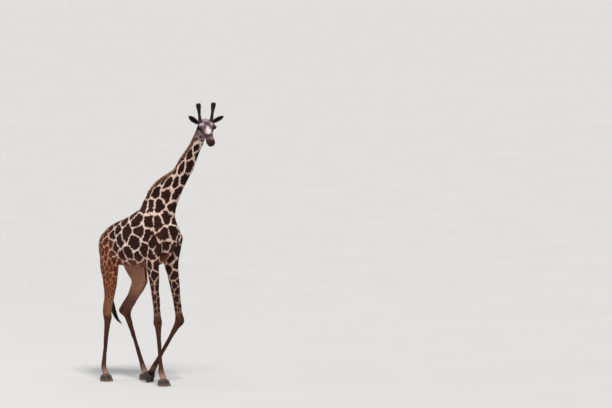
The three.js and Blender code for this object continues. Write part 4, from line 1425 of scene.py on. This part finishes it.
def hoof_material():
    """Dark ringed horn with dust at its top and bottom; the lifted foot's claws are painted nearly black as
    shade.
    """
    k = Nodes("hoof")
    p, high = k.objects(), k.attribute("up")
    flat = k.add("Mapping", Vector=p, Scale=(5, 5, 190)).outputs[0]
    wave = k.noise(flat, 1.0, 2)
    colour = k.mix(wave, (0.020, 0.013, 0.011), (0.070, 0.045, 0.036))
    colour = k.mix(k.mapped(k.noise(p, 34, 4), 0.45, 0.75, 0, 0.6), colour, (0.11, 0.075, 0.055))
    dust = k.math("ADD", k.mapped(high, 0.55, 0.0, 0, 0.75), k.mapped(high, 0.86, 1.0, 0, 0.5))
    dust = k.math("MULTIPLY", dust, k.mapped(k.noise(p, 70, 4), 0.22, 0.6), True)
    colour = k.mix(dust, colour, (0.32, 0.195, 0.15))
    # painted shade: the lifted foot's claws are made nearly black
    colour = k.mix(k.times(k.attribute("painted_shade"), 0.8), colour, (0.010, 0.007, 0.006))
    bumped = k.bump(wave, 0.5, 0.0012, Normal=k.bump(k.noise(p, 220), 0.4, 0.0008))
    return k.finish(colour, k.mapped(dust, 0, 1, 0.42, 0.8), 0.4, bumped)


def long_hair_material():
    """Black hair, each strand its own shade, browner towards the tips."""
    k = Nodes("black_hair")
    colour = k.mix(k.attribute("own"), (0.004, 0.003, 0.003), (0.022, 0.015, 0.012))
    patchy = k.math("ADD", k.attribute("share"), k.wobble(k.attribute("root", "Vector"), 14, 3, 0.9))
    return k.finish(k.mix(k.mapped(patchy, 0.55, 1.0), colour, (0.030, 0.018, 0.012)), 0.5, 0.35)


def mane_material():
    """Rust-brown hair with a dark band: at the hair's tips high on the neck, and under them low on it."""
    k = Nodes("mane")
    own, at = k.attribute("own"), k.attribute("at")
    p = k.attribute("root", "Vector")
    rust = k.mix(own, (0.27, 0.090, 0.042), (0.58, 0.235, 0.115))
    base = k.mix(k.mapped(k.noise(p, 8, 2), 0.48, 0.66), rust, (0.52, 0.30, 0.19))
    black = k.mix(own, (0.009, 0.005, 0.004), (0.035, 0.019, 0.015))
    ragged = k.math("ADD", k.attribute("share"), k.wobble(p, 22, 3, 0.7))
    tips = k.mapped(ragged, 0.78, 0.98)
    band = k.times(k.mapped(ragged, 0.15, 0.3), k.mapped(ragged, 0.55, 0.4))
    colour = k.mix(k.times(tips, k.mapped(at, 0.35, 0.62)), base, black)
    colour = k.mix(k.times(band, k.mapped(at, 0.62, 0.35, 0, 0.8)), colour, black)
    return k.finish(colour, 0.55, 0.3)


def floor_material():
    k = Nodes("floor")
    return k.finish(k.mix(k.noise(k.objects(), 0.7, 2), (0.70, 0.695, 0.68), (0.75, 0.745, 0.73)), 0.9, 0.2)


# ---------- eyes, horns, claws ----------

def dress(obj, slot, material, *nodes):
    """Gives a piece its material and says which CAD nodes it replaces; slot is not used."""
    obj.data.materials.clear()
    obj.data.materials.append(material)
    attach(obj, "root")
    if nodes:
        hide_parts(*nodes)
    return obj


PUPIL = (0.30, 0.20)  # half its length and height, as shares of the eyeball's radius
EYE_SIDES = 72
CORNEA_ANGLE, BEHIND_LIDS = 27, (47, 62)  # from the gaze


def make_eye(name, material):
    """An eyeball that bulges at the front and is smaller behind the lids."""
    side = SIDES[name]
    verts, tris = ball((0, 0, 0), (1, 1, 1), sides=EYE_SIDES)
    gaze, ahead, up = eye_frame(side)
    a, b, c = verts.T
    ways = gaze * c[:, None] + ahead * a[:, None] + up * b[:, None]
    out = np.degrees(np.arccos(np.clip(c, -1, 1)))
    bulge = 0.05 * np.exp(-((out / CORNEA_ANGLE) ** 4))
    radius = EYE_RADIUS * (0.985 + bulge - 0.18 * smoothstep(out, *BEHIND_LIDS))
    p = from_head(mirrored(EYE_AT, side) + ways * radius[:, None])
    obj = mesh_object("eye_" + name + "_ball", to_scene(p), outward(p, tris))
    put(obj, "from_gaze", out)
    put(obj, "from_pupil", np.hypot(a / PUPIL[0], b / PUPIL[1]) + (c < 0) * 9)  # none at the back
    put(obj, "round_gaze", verts * [[1, 1, 0.1]], "FLOAT_VECTOR")
    return dress(obj, "eye", material, "eye_" + name)


OSSICONE_AT, OSSICONE_WAY, OSSICONE_LENGTH = [-66, 82, 52], [-0.4, 0.11, 0.9], 262
OSSICONE_RADII = [[-0.14, 40], [0, 36], [0.1, 31], [0.2, 27], [0.42, 24], [0.66, 30], [0.88, 38], [1, 35]]
OSSICONE_DOME = 24
OSSICONE_UNDER_HAIR = 5


def horn_line(side):
    """Root and way of a horn, in the head's frame."""
    return mirrored(OSSICONE_AT, side), unit(mirrored(OSSICONE_WAY, side))


def ossicone(side):
    root, way = horn_line(side)
    rows = [[*(root + way * t * OSSICONE_LENGTH), r, r, r] for t, r in OSSICONE_RADII]
    return Loft(rows, domes=(0, OSSICONE_DOME), place=from_head)


def horn_height(p, side):
    """0 at a horn's foot and 1 just under its top."""
    root, way = horn_line(side)
    return ((to_head(p) - root) @ way) / (OSSICONE_LENGTH + OSSICONE_DOME - 6)


def make_horns(material):
    parts, heights = [], []
    for side in (1, -1):
        v, t = ossicone(side).mesh(-OSSICONE_UNDER_HAIR, 40, 8)
        v = v + unit(v - v.mean(0)) * (1.2 * smooth_noise(v, 26, 8))[:, None]
        parts.append((v, outward(v, t)))
        heights.append(horn_height(v, side))
    v, t = joined(parts)
    obj = mesh_object("ossicones", to_scene(v), t)
    put(obj, "up", np.concatenate(heights))
    put(obj, "root", to_scene(v), "FLOAT_VECTOR")
    return dress(obj, "horn", material, "ossicone_left", "ossicone_right")


CLAW_RINGS = [  # from the sole up: height, heel, slope of the front, half width
    [0, 64, 3, 36], [4, 66, 1, 37], [30, 68, 12, 38], [62, 64, 32, 38], [84, 58, 45, 36], [92, 54, 54, 34]]


def make_claws(material):
    """Two claws for each foot, with growth rings."""
    parts, heights, painted_shade = [], [], []
    for leg in LEGS:
        for y in (CLAW_SPACING, -CLAW_SPACING):
            rows = [[0, y, z, heel_end, HOOF_TOE - slope, half] for z, heel_end, slope, half in CLAW_RINGS]
            v, t = Loft(rows, 2.3).mesh(0, 44, 6)
            heights.append(v[:, 2] / HOOF_HEIGHT)
            # which claws get painted shade in the hoof material
            painted_shade.append(np.full(len(v), float(leg == SHADOWED_LEG)))
            rings = 0.5 * np.sin(v[:, 2] * 0.62 + 0.8 * np.sin(v[:, 0] * 0.05))
            v = v + (v - [0, y, 0]) * [1, 1, 0] / 60 * rings[:, None] * (v[:, 2:] > 3)  # none at the sole
            v = in_foot(leg, v)
            v[:, 2] = np.maximum(v[:, 2], 0.3)
            parts.append((v, outward(v, t)))
    v, t = joined(parts)
    obj = mesh_object("claws", to_scene(v), t)
    put(obj, "up", np.concatenate(heights))
    put(obj, "painted_shade", np.concatenate(painted_shade))
    return dress(obj, "hoof", material, *[n for n in CAD if "claw" in n])


# ---------- hair ----------

HAIR_ANGLES = (0, 2.094, 4.189)  # radians, round each three-sided hair
HAIR_TIP = 0.12  # its width as a share of the hair's
SHORT_WIDTHS, TAIL_WIDTHS = (1.8, 3.0), (2.0, 3.4)
PATCH_HALF = 0.0015  # half the side of a hair's or tuft's place in the OFBake map


def copies(faces, count, points):
    """The same faces for each of many small meshes that have as many points each."""
    return (faces[None] + (np.arange(count) * points)[:, None, None]).reshape(-1, 3)


def strands(name, paths, widths):
    """Three-sided hairs along paths (count, points, 3) of the given widths, as one mesh with its values."""
    count, steps = paths.shape[:2]
    way = unit(np.gradient(paths, axis=1))
    side = unit(np.cross(way, unit(np.random.default_rng(3).normal(size=(count, 1, 3)))))
    other = np.cross(way, side)
    half = widths[:, None, None] * (np.linspace(1, HAIR_TIP, steps) ** 0.8)[None, :, None] / 2
    rings = [paths + (side * math.cos(angle) + other * math.sin(angle)) * half for angle in HAIR_ANGLES]
    verts = np.stack(rings, 2).reshape(-1, 3)
    each = steps * 3
    one = np.concatenate([tube_faces(steps, 3), [[0, 2, 1], [each - 3, each - 2, each - 1]]])
    obj = mesh_object(name, to_scene(verts), copies(one, count, each))
    put(obj, "share", np.tile(np.repeat(np.linspace(0, 1, steps), 3), count))
    put(obj, "own", np.repeat(np.random.default_rng(4).uniform(0, 1, count), each))
    put(obj, "root", np.repeat(to_scene(paths[:, 0]), each, axis=0), "FLOAT_VECTOR")
    return obj


def add_bake_map(obj, places_uv, corners):
    """The OFBake map: each hair or tuft is a small patch at its root's place."""
    layer = obj.data.uv_layers.new(name="OFBake")
    uv = np.repeat(places_uv, len(corners), axis=0) + np.tile(corners, (len(places_uv), 1))
    vertex = read(obj.data.loops, "vertex_index", 1, np.int32)[:, 0]
    layer.data.foreach_set("uv", uv[vertex].astype(np.float32).ravel())


def hair_corners(steps):
    """Places in a patch for the vertices of one strand."""
    t = np.repeat(np.linspace(0, 1, steps), 3)
    return np.stack([np.tile([-1, 0.1, 1], steps) * PATCH_HALF, (t - 0.5) * 2 * PATCH_HALF], 1)


MANE_HEIGHTS = [40, 56, 50, 40, 40, 36, 34, 32, 26]  # from the withers to the head
MANE_STRANDS, MANE_HALF_WIDTH, MANE_POINTS = 13000, 13.0, 3
MANE_ROOT = 16  # how deep it starts under the CAD's neck


def mane_height(rng, share, across):
    """Length of each hair over the neck: shorter at the sides, in locks, and rising at the withers."""
    height = np.interp(share * 8, range(9), MANE_HEIGHTS) * (1 - 0.22 * np.abs(across) ** 1.5)
    u = neck_share(share)
    height *= rng.uniform(0.80, 0.985, len(share)) * (0.93 + 0.07 * np.sin(u * 310 + 2 * np.sin(u * 57)))
    return height * (smoothstep(share, -0.02, 0.03) * 0.6 + 0.4)


def neck_share(share):
    """The mane starts at the neck's second station."""
    first = 1 / (len(NECK.stations) - 1)
    return first + (1 - first) * share


def make_mane(material):
    rng = np.random.default_rng(41)
    n = MANE_STRANDS
    share = rng.uniform(0, 1, n)
    across_share = rng.normal(0, 0.42, n).clip(-1, 1)
    centre, along, across, over, sizes = NECK.frames(neck_share(share))
    height = mane_height(rng, share, across_share)
    base = centre + across * (across_share * MANE_HALF_WIDTH)[:, None]
    base = base + over * (sizes[:, 0] - MANE_ROOT - 3 * np.abs(across_share))[:, None]
    lean = -along * rng.normal(0.22, 0.12, n)[:, None]
    lean = lean + across * (rng.normal(0, 0.07, n) + 0.05 * across_share)[:, None]
    t = np.linspace(0, 1, MANE_POINTS)[None, :, None]
    length = (height + MANE_ROOT)[:, None, None]
    paths = base[:, None] + (over[:, None] * t + lean[:, None] * t**1.6 * 0.6) * length
    obj = strands("mane_hair", paths, rng.uniform(*SHORT_WIDTHS, n))
    put(obj, "at", np.repeat(share, MANE_POINTS * 3))
    add_bake_map(obj, np.stack([0.02 + 0.96 * share, 0.5 + 0.4 * across_share], 1), hair_corners(MANE_POINTS))
    return dress(obj, "mane", material, "mane")


TAIL_STRANDS, TAIL_POINTS = 1500, 11
TAIL_OVERLAP = 42  # how far the first hairs start up the tail


def make_tail_hair(material):
    """Long wavy hairs that start all down the tuft, the first ones on the tail itself."""
    rng = np.random.default_rng(42)
    n = TAIL_STRANDS
    start = rng.uniform(0, 0.5, n) ** 1.2
    end = np.minimum(start + rng.uniform(0.32, 0.6, n), rng.uniform(0.9, 1.0, n))
    angle, out = rng.uniform(0, 360, n), np.sqrt(rng.uniform(0.03, 0.95, n))
    t = np.linspace(0, 1, TAIL_POINTS)
    u = (start[:, None] + (end - start)[:, None] * t).ravel()
    turn = angle[:, None] + rng.normal(0, 16, (n, 1)) * t
    centre = TAIL_HAIR.frames(u)[0].reshape(n, TAIL_POINTS, 3)
    rim = TAIL_HAIR.points(u, turn.ravel(), -4).reshape(n, TAIL_POINTS, 3)
    reach = out[:, None] * (0.75 + 0.25 * smoothstep(t, 0, 0.35))
    overlap = unit(TAIL.stations[-2, :3] - TAIL.stations[-1, :3]) * TAIL_OVERLAP
    paths = centre + (rim - centre) * reach[..., None] + overlap * (1 - smoothstep(t, 0, 0.3))[:, None]
    wave = rng.normal(0, 2.2, (n, 1, 3)) * np.sin(t[None, :, None] * rng.uniform(3, 8, (n, 1, 1)))
    obj = strands("tail_hair", paths + wave, rng.uniform(*TAIL_WIDTHS, n))
    places_uv = np.stack([0.02 + 0.96 * angle / 360, 0.02 + 0.9 * start * 2], 1)
    add_bake_map(obj, places_uv, hair_corners(TAIL_POINTS))
    return dress(obj, "hair", material, "tail_tuft")


LASHES, LASH_WIDTH, WHISKERS, WHISKER_WIDTH, FINE_POINTS = 54, 1.0, 60, 0.8, 5
LASH_TURNS, LASH_LENGTHS, WHISKER_LENGTHS = (-44, 46), (15, 22), (9, 20)
LASH_ROOT = 31.5  # from the eye's middle, in the lid


def lash_paths(rng, side, t):
    """Hairs that stand out from the upper lid's edge and bend up."""
    gaze, ahead, up = eye_frame(side)
    c, s = math.cos(EYE_TILT), math.sin(EYE_TILT)
    turns = np.linspace(*LASH_TURNS, LASHES)
    for a, edge in zip(turns, lid_edges(turns)[0]):
        b = edge + rng.uniform(0, 3)
        across, rise = math.radians(a * c - b * s), math.radians(a * s + b * c)
        out = unit(gaze + ahead * math.tan(across) + up * math.tan(rise))
        length = rng.uniform(*LASH_LENGTHS) * (1 - 0.4 * abs(a) / LASH_TURNS[1])
        way = unit(out + ahead * (0.25 + a / 160) + up * rng.uniform(-0.1, 0.2))
        root = mirrored(EYE_AT, side) + out * LASH_ROOT
        yield from_head(root + way * length * t + (up * 0.32 - out * 0.1) * length * t**2)


def whisker_paths(rng, t):
    """Bristles on the lips and chin."""
    for _ in range(WHISKERS):
        x, turn = rng.uniform(250, 342), rng.uniform(-150, -30)
        loft = JAW if rng.random() < 0.6 else SKULL
        line = loft.stations[:, 0]
        u = np.array([np.interp(x, line, np.linspace(0, 1, len(line)))])
        root = to_head(loft.points(u, np.array([turn]), -4))[0]
        out = unit((root - [x, 0, -40]) * [0, 1, 1] + [rng.uniform(2, 20), 0, -6])
        yield from_head(root + out * rng.uniform(*WHISKER_LENGTHS) * t - Z * 3 * t**2)


def make_lashes(material):
    rng = np.random.default_rng(43)
    t = np.linspace(0, 1, FINE_POINTS)[:, None]
    paths = [*lash_paths(rng, 1, t), *lash_paths(rng, -1, t), *whisker_paths(rng, t)]
    widths = np.repeat([LASH_WIDTH, WHISKER_WIDTH], [2 * LASHES, WHISKERS])
    obj = strands("lashes", np.array(paths), widths)
    order = np.arange(len(paths))
    places_uv = np.stack([0.05 + 0.9 * (order % 20) / 20, 0.05 + 0.9 * order / len(order)], 1)
    add_bake_map(obj, places_uv, hair_corners(FINE_POINTS))
    return dress(obj, "hair", material)


HORN_HAIRS, HORN_POINTS, HORN_LENGTHS = 4200, 4, (10, 15)


def make_horn_hair(material):
    """Black hair on the horns, lying upward and standing out round their tops."""
    rng = np.random.default_rng(62)
    t = np.linspace(0, 1, HORN_POINTS)[None, :, None]
    n = HORN_HAIRS
    paths, heights, flat = [], [], []
    for side in (1, -1):
        loft = ossicone(side)
        u, turn = rng.uniform(0.02, 1.0, n) ** 0.85, rng.uniform(0, 360, n)
        root = loft.points(u, turn, -6 + 4.5 * (1 - smoothstep(u, 0.1, 0.3)))
        centre, along = loft.frames(u)[:2]
        out = unit(root - centre)
        tall = smoothstep(u, 0.5, 0.95)
        length = rng.uniform(*HORN_LENGTHS, n) + 8 * tall
        lean = 0.12 + 0.05 * tall + rng.uniform(-0.06, 0.14, n)
        bend = (2 + 6 * smoothstep(u, 0.8, 1))[:, None, None]
        way = unit(along + out * lean[:, None] + rng.normal(0, 0.09, (n, 3)))
        paths.append(root[:, None] + way[:, None] * length[:, None, None] * t - out[:, None] * bend * t**2)
        heights.append(horn_height(root, side))
        flat.append(np.stack([turn / 360, u], 1))
    obj = strands("ossicone_hair", np.concatenate(paths), rng.uniform(*SHORT_WIDTHS, 2 * n))
    put(obj, "up", np.repeat(np.concatenate(heights), 3 * HORN_POINTS))
    add_bake_map(obj, 0.02 + 0.96 * np.concatenate(flat), hair_corners(HORN_POINTS))
    return dress(obj, "horn", material)


# ---------- the coat's tufts ----------

COAT_PIECES = 5
TUFTS = 232000
TUFT_LENGTHS = {"trunk": 15, "neck": 14, "skull": 7, "jaw": 8, "tail": 11, "ear": 8,
                "fore": 12.5, "hind": 12.5, "cannon": 9.5, "pastern": 8}
FETLOCK_EXTRA = 9  # the tufts get longer down the pastern
TUFT_TURN = 0.16  # radians that tufts stray from the coat's lie
LENGTH_RANGE, WIDTH_RANGE = (0.8, 1.25), (0.17, 0.25)  # shares of the size there, and of the own length
NOSTRIL_SIZE = [17, 14, 11]
# A tuft is a flat roof: corners left and right of its root, a ridge point and a tip.
TUFT_FACES = np.array([[0, 2, 3], [2, 1, 3], [0, 1, 2], [1, 0, 3]])
TUFT_CORNERS = np.array([[-PATCH_HALF, -PATCH_HALF], [PATCH_HALF, -PATCH_HALF],
                         [0, -0.0002], [0, PATCH_HALF]])


def fringe_of(p, n, places):
    """0 where the coat lies flat, up to 1 where it breaks the outline."""
    h = to_head(p)
    trunk, middle = places.of("trunk"), np.abs(p[:, 1])
    crown = np.exp(-(((h - [-84, 0, 84]) / [60, 70, 50]) ** 2).sum(1))
    rows = [
        places.of("skull") * crown * 0.55,
        places.of("jaw", "skull") * smoothstep(-n[:, 2], 0.4, 0.9) * 0.3,  # throat
        trunk * smoothstep(-n[:, 2], 0.6, 0.98) * 0.75,  # belly
        trunk * smoothstep(n[:, 2], 0.8, 0.99) * smoothstep(60 - middle, 0, 40) * 0.5,  # back
        places.of("neck") * smoothstep(60 - middle, 0, 50) * 0.35,
    ]
    for side in SIDES:
        edge = 1 - smoothstep(np.abs(places.height("ear_" + side)), 0.1, 0.5)
        rows.append(places.of("ear_" + side) * edge * 0.9)
    for leg in LEGS:
        upper, foot = leg + "_upper", leg + "_pastern"
        rows.append(places.of(upper) * smoothstep(-places.height(upper), 0.3, 0.95) * 0.45)
        rows.append(places.of(foot) * (0.25 + 0.6 * smoothstep(-places.height(foot), -0.2, 0.8)))
    return np.clip(np.max(rows, 0) + 0.16 * np.maximum(smooth_noise(p, 120, 51), 0), 0, 1)


def tuft_size(p, places):
    """Length in millimetres of the coat's tufts; their width follows it."""
    def size(_, name):
        kind, end = name.split("_")[0], name.split("_")[-1]
        return TUFT_LENGTHS.get(end, TUFT_LENGTHS[kind])

    length = places.total(size)
    for leg in LEGS:
        foot = leg + "_pastern"
        length += FETLOCK_EXTRA * places.of(foot) * smoothstep(places.along(foot), 0.45, 0.8)
    return length * (1 - 0.25 * (places.of("skull", "jaw") * smoothstep(to_head(p)[:, 0], 60, 260)))


def bald_share(p, places):
    """1 where no tufts grow: lids, nostrils and lips."""
    h = to_head(p)
    bald = smoothstep(h[:, 0], 338, 352) * places.of("skull", "jaw")
    for side in (1, -1):
        from_eye = np.linalg.norm(h - mirrored(EYE_AT, side), axis=1)
        from_nostril = np.linalg.norm((h - mirrored(NOSTRIL[1], side)) / NOSTRIL_SIZE, axis=1)
        bald = np.maximum(bald, smoothstep(-from_eye, -36, -32.5))
        bald = np.maximum(bald, smoothstep(-from_nostril, -1, -0.7))
    return bald


def scattered(rng, weight, count):
    """Triangles picked evenly by their weight, and the shares of their corners at a random place on each."""
    cumulative = np.cumsum(weight)
    spread = (np.arange(count) + rng.uniform(0, 1, count)) / count * cumulative[-1]
    at = np.minimum(np.searchsorted(cumulative, spread), len(weight) - 1)
    r1, r2 = np.sqrt(rng.uniform(0, 1, count)), rng.uniform(0, 1, count)
    return at, np.stack([1 - r1, r1 * (1 - r2), r1 * r2], 1)


def tuft_shapes(rng, root, normal, lie, size, fringe):
    """The four points of each tuft, and the normals that make it look round."""
    count = len(root)
    turn = rng.normal(0, TUFT_TURN, count)[:, None]
    side = unit(np.cross(lie, normal))
    way = unit(np.cross(normal, side))
    way, side = way * np.cos(turn) + side * np.sin(turn), side * np.cos(turn) - way * np.sin(turn)
    rise = fringe * rng.uniform(0.5, 1, count)
    length = size * rng.uniform(*LENGTH_RANGE, count) * (1 + 0.45 * rise)
    wide = length * rng.uniform(*WIDTH_RANGE, count) * (1 - 0.3 * rise)
    lift = 0.075 * length + rng.uniform(0, 0.05, count) * length + 0.40 * rise * length
    root = root - normal * 0.8
    left, right = root - side * wide[:, None] / 2, root + side * wide[:, None] / 2
    ridge = root + way * length[:, None] * 0.34 + normal * (0.8 + 0.10 * wide + 0.42 * lift)[:, None]
    tip = root + way * (length * (1 - 0.25 * rise))[:, None] + normal * (0.6 + lift)[:, None]
    normals = np.stack([normal - 0.45 * side, normal + 0.45 * side, normal, normal + 0.1 * way], 1)
    return np.stack([left, right, ridge, tip], 1), normals


def make_tufts(skin, p, n, places, values, material):
    """Tufts all over the skin, in a few pieces from the feet up."""
    rng = np.random.default_rng(61)
    tris = triangles_of(skin.data)
    a, b, c = (p[tris[:, i]] for i in range(3))
    area = np.linalg.norm(np.cross(b - a, c - a), axis=1) / 2
    size = tuft_size(p, places)
    density = size[tris].mean(1) ** -1.25
    at, share = scattered(rng, area * density * (1 - bald_share(p, places)[tris].max(1)), TUFTS)
    corner = tris[at]

    def take(v):
        return (v[corner] * (share[..., None] if v.ndim == 2 else share)).sum(1)

    verts, normals = tuft_shapes(rng, take(p), unit(take(n)), take(lie_of(p, n, places)), take(size),
                                 take(fringe_of(p, n, places)))
    kept = {name: take(v) for name, v in values.items()}
    kept["shade"], kept["root"] = values["shade"][corner[:, 0]], to_scene(take(p))
    unwrapped = places.unwrap()[corner[:, 0]]
    own = rng.uniform(0, 1, TUFTS)
    order = np.argsort(take(p)[:, 2], kind="stable")
    for number, part in enumerate(np.array_split(order, COAT_PIECES), 1):
        faces = copies(TUFT_FACES, len(part), 4)
        obj = mesh_object(f"coat_{number}", to_scene(verts[part].reshape(-1, 3)), faces)
        for name, kind in COAT_VALUES.items():
            put(obj, name, np.repeat(kept[name][part], 4, axis=0), kind)
        put(obj, "own", np.repeat(own[part], 4))
        add_bake_map(obj, unwrapped[part], TUFT_CORNERS)
        obj.data.normals_split_custom_set_from_vertices(unit(normals[part].reshape(-1, 3)))
        dress(obj, "coat", material)


def make_coat():
    """The skin and the tufts on it, with the same values at the same places."""
    skin = make_skin()
    p, n = vertices_of(skin.data), normals_of(skin)
    places = Places(p)
    values = coat_values(p, n, places)
    for name, kind in COAT_VALUES.items():
        put(skin, name, values[name], kind)
    make_tufts(skin, p, n, places, values, coat_material("coat_hair", tufts=True))
    set_vertices(skin, to_scene(p))
    dress(skin, "coat", coat_material("coat"), *flesh_nodes())


# ---------- floor, light and camera ----------

FLOOR_HALF = 300.0
SKY_COLOUR, SKY_STRENGTH = (0.88, 0.90, 0.94, 1), 0.5
SUN_FROM, SUN_POWER, SUN_WIDTH, SUN_COLOUR = (5.5, -5.0, 11.0), 2.3, 16, (1.0, 0.975, 0.94)
FILL_AT, FILL_AIM, FILL_SIZE = (-7.5, -9.0, 4.0), (0, 0, 2.0), 1.6
FILL_POWER, FILL_COLOUR = 240, (0.93, 0.96, 1.0)
# The camera's place: degrees from the animal's right side towards its front, degrees up, and metres away.
AZIMUTH, ELEVATION, DISTANCE_AWAY = 38.0, 7.0, 73.0
PIXELS_PER_METRE, FRAME_WIDTH, FRAME_HEIGHT = 69.5, 612, 408
FOOT_PIXEL = (162, 386)  # where the right fore foot stands in the picture
SENSOR = 36.0


def placed(name, data, at, from_way):
    """Puts a lamp or camera in the scene, looking back along a way."""
    obj = bpy.data.objects.new(name, data)
    obj.location = at
    obj.rotation_euler = Vector(from_way).to_track_quat("Z", "Y").to_euler()
    bpy.context.scene.collection.objects.link(obj)
    return obj


def make_floor():
    corners = [(-FLOOR_HALF, -FLOOR_HALF, 0), (FLOOR_HALF, -FLOOR_HALF, 0),
               (FLOOR_HALF, FLOOR_HALF, 0), (-FLOOR_HALF, FLOOR_HALF, 0)]
    floor = mesh_object("floor", corners, np.array([[0, 1, 2, 3]]))
    floor.data.materials.append(floor_material())


def make_light():
    """Even light from the sky, a soft sun from the front right, and a small fill from behind on the right."""
    world = bpy.context.scene.world or bpy.data.worlds.new("world")
    bpy.context.scene.world = world
    world.use_nodes = True
    sky = world.node_tree.nodes["Background"].inputs
    sky["Color"].default_value, sky["Strength"].default_value = SKY_COLOUR, SKY_STRENGTH
    sun = bpy.data.lights.new("key", "SUN")
    sun.energy, sun.angle, sun.color = SUN_POWER, math.radians(SUN_WIDTH), SUN_COLOUR
    placed("key", sun, (0, 0, 0), SUN_FROM)
    fill = bpy.data.lights.new("fill", "AREA")
    fill.shape, fill.size, fill.energy, fill.color = "DISK", FILL_SIZE, FILL_POWER, FILL_COLOUR
    placed("fill", fill, FILL_AT, Vector(FILL_AT) - Vector(FILL_AIM))


def make_camera():
    """The picture's view: the sole of the right fore foot falls on FOOT_PIXEL."""
    azimuth, elevation = math.radians(AZIMUTH), math.radians(ELEVATION)
    right = Vector((math.cos(azimuth), math.sin(azimuth), 0))
    level = math.cos(elevation)
    back = Vector((math.sin(azimuth) * level, -math.cos(azimuth) * level, math.sin(elevation)))
    up = back.cross(right)
    foot = Vector((*middle_of("fore_right_claw_outer")[:2], 0))
    aim = foot + right * ((FRAME_WIDTH / 2 - FOOT_PIXEL[0]) / PIXELS_PER_METRE)
    aim += up * ((FOOT_PIXEL[1] - FRAME_HEIGHT / 2) / PIXELS_PER_METRE)
    data = bpy.data.cameras.new("camera")
    data.sensor_width = SENSOR
    data.lens = SENSOR * DISTANCE_AWAY * PIXELS_PER_METRE / FRAME_WIDTH
    data.clip_start, data.clip_end = 1.0, 1000.0
    at = foot + back * DISTANCE_AWAY
    bpy.context.scene.camera = placed("camera", data, at, at - aim)


# ---------- making it all ----------

for extra in [o for o in bpy.data.objects if o.name in ("Cube", "Light", "Camera")]:
    bpy.data.objects.remove(extra)  # what a new Blender file holds

make_coat()
eye_look = eye_material()
for eye_side in SIDES:
    make_eye(eye_side, eye_look)
make_horns(horn_material("horn"))
make_horn_hair(horn_material("horn_hair", tufts=True))
make_claws(hoof_material())
make_mane(mane_material())
black_hair = long_hair_material()
make_tail_hair(black_hair)
make_lashes(black_hair)

make_floor()
make_light()
make_camera()
bpy.context.scene.view_settings.view_transform = "Standard"
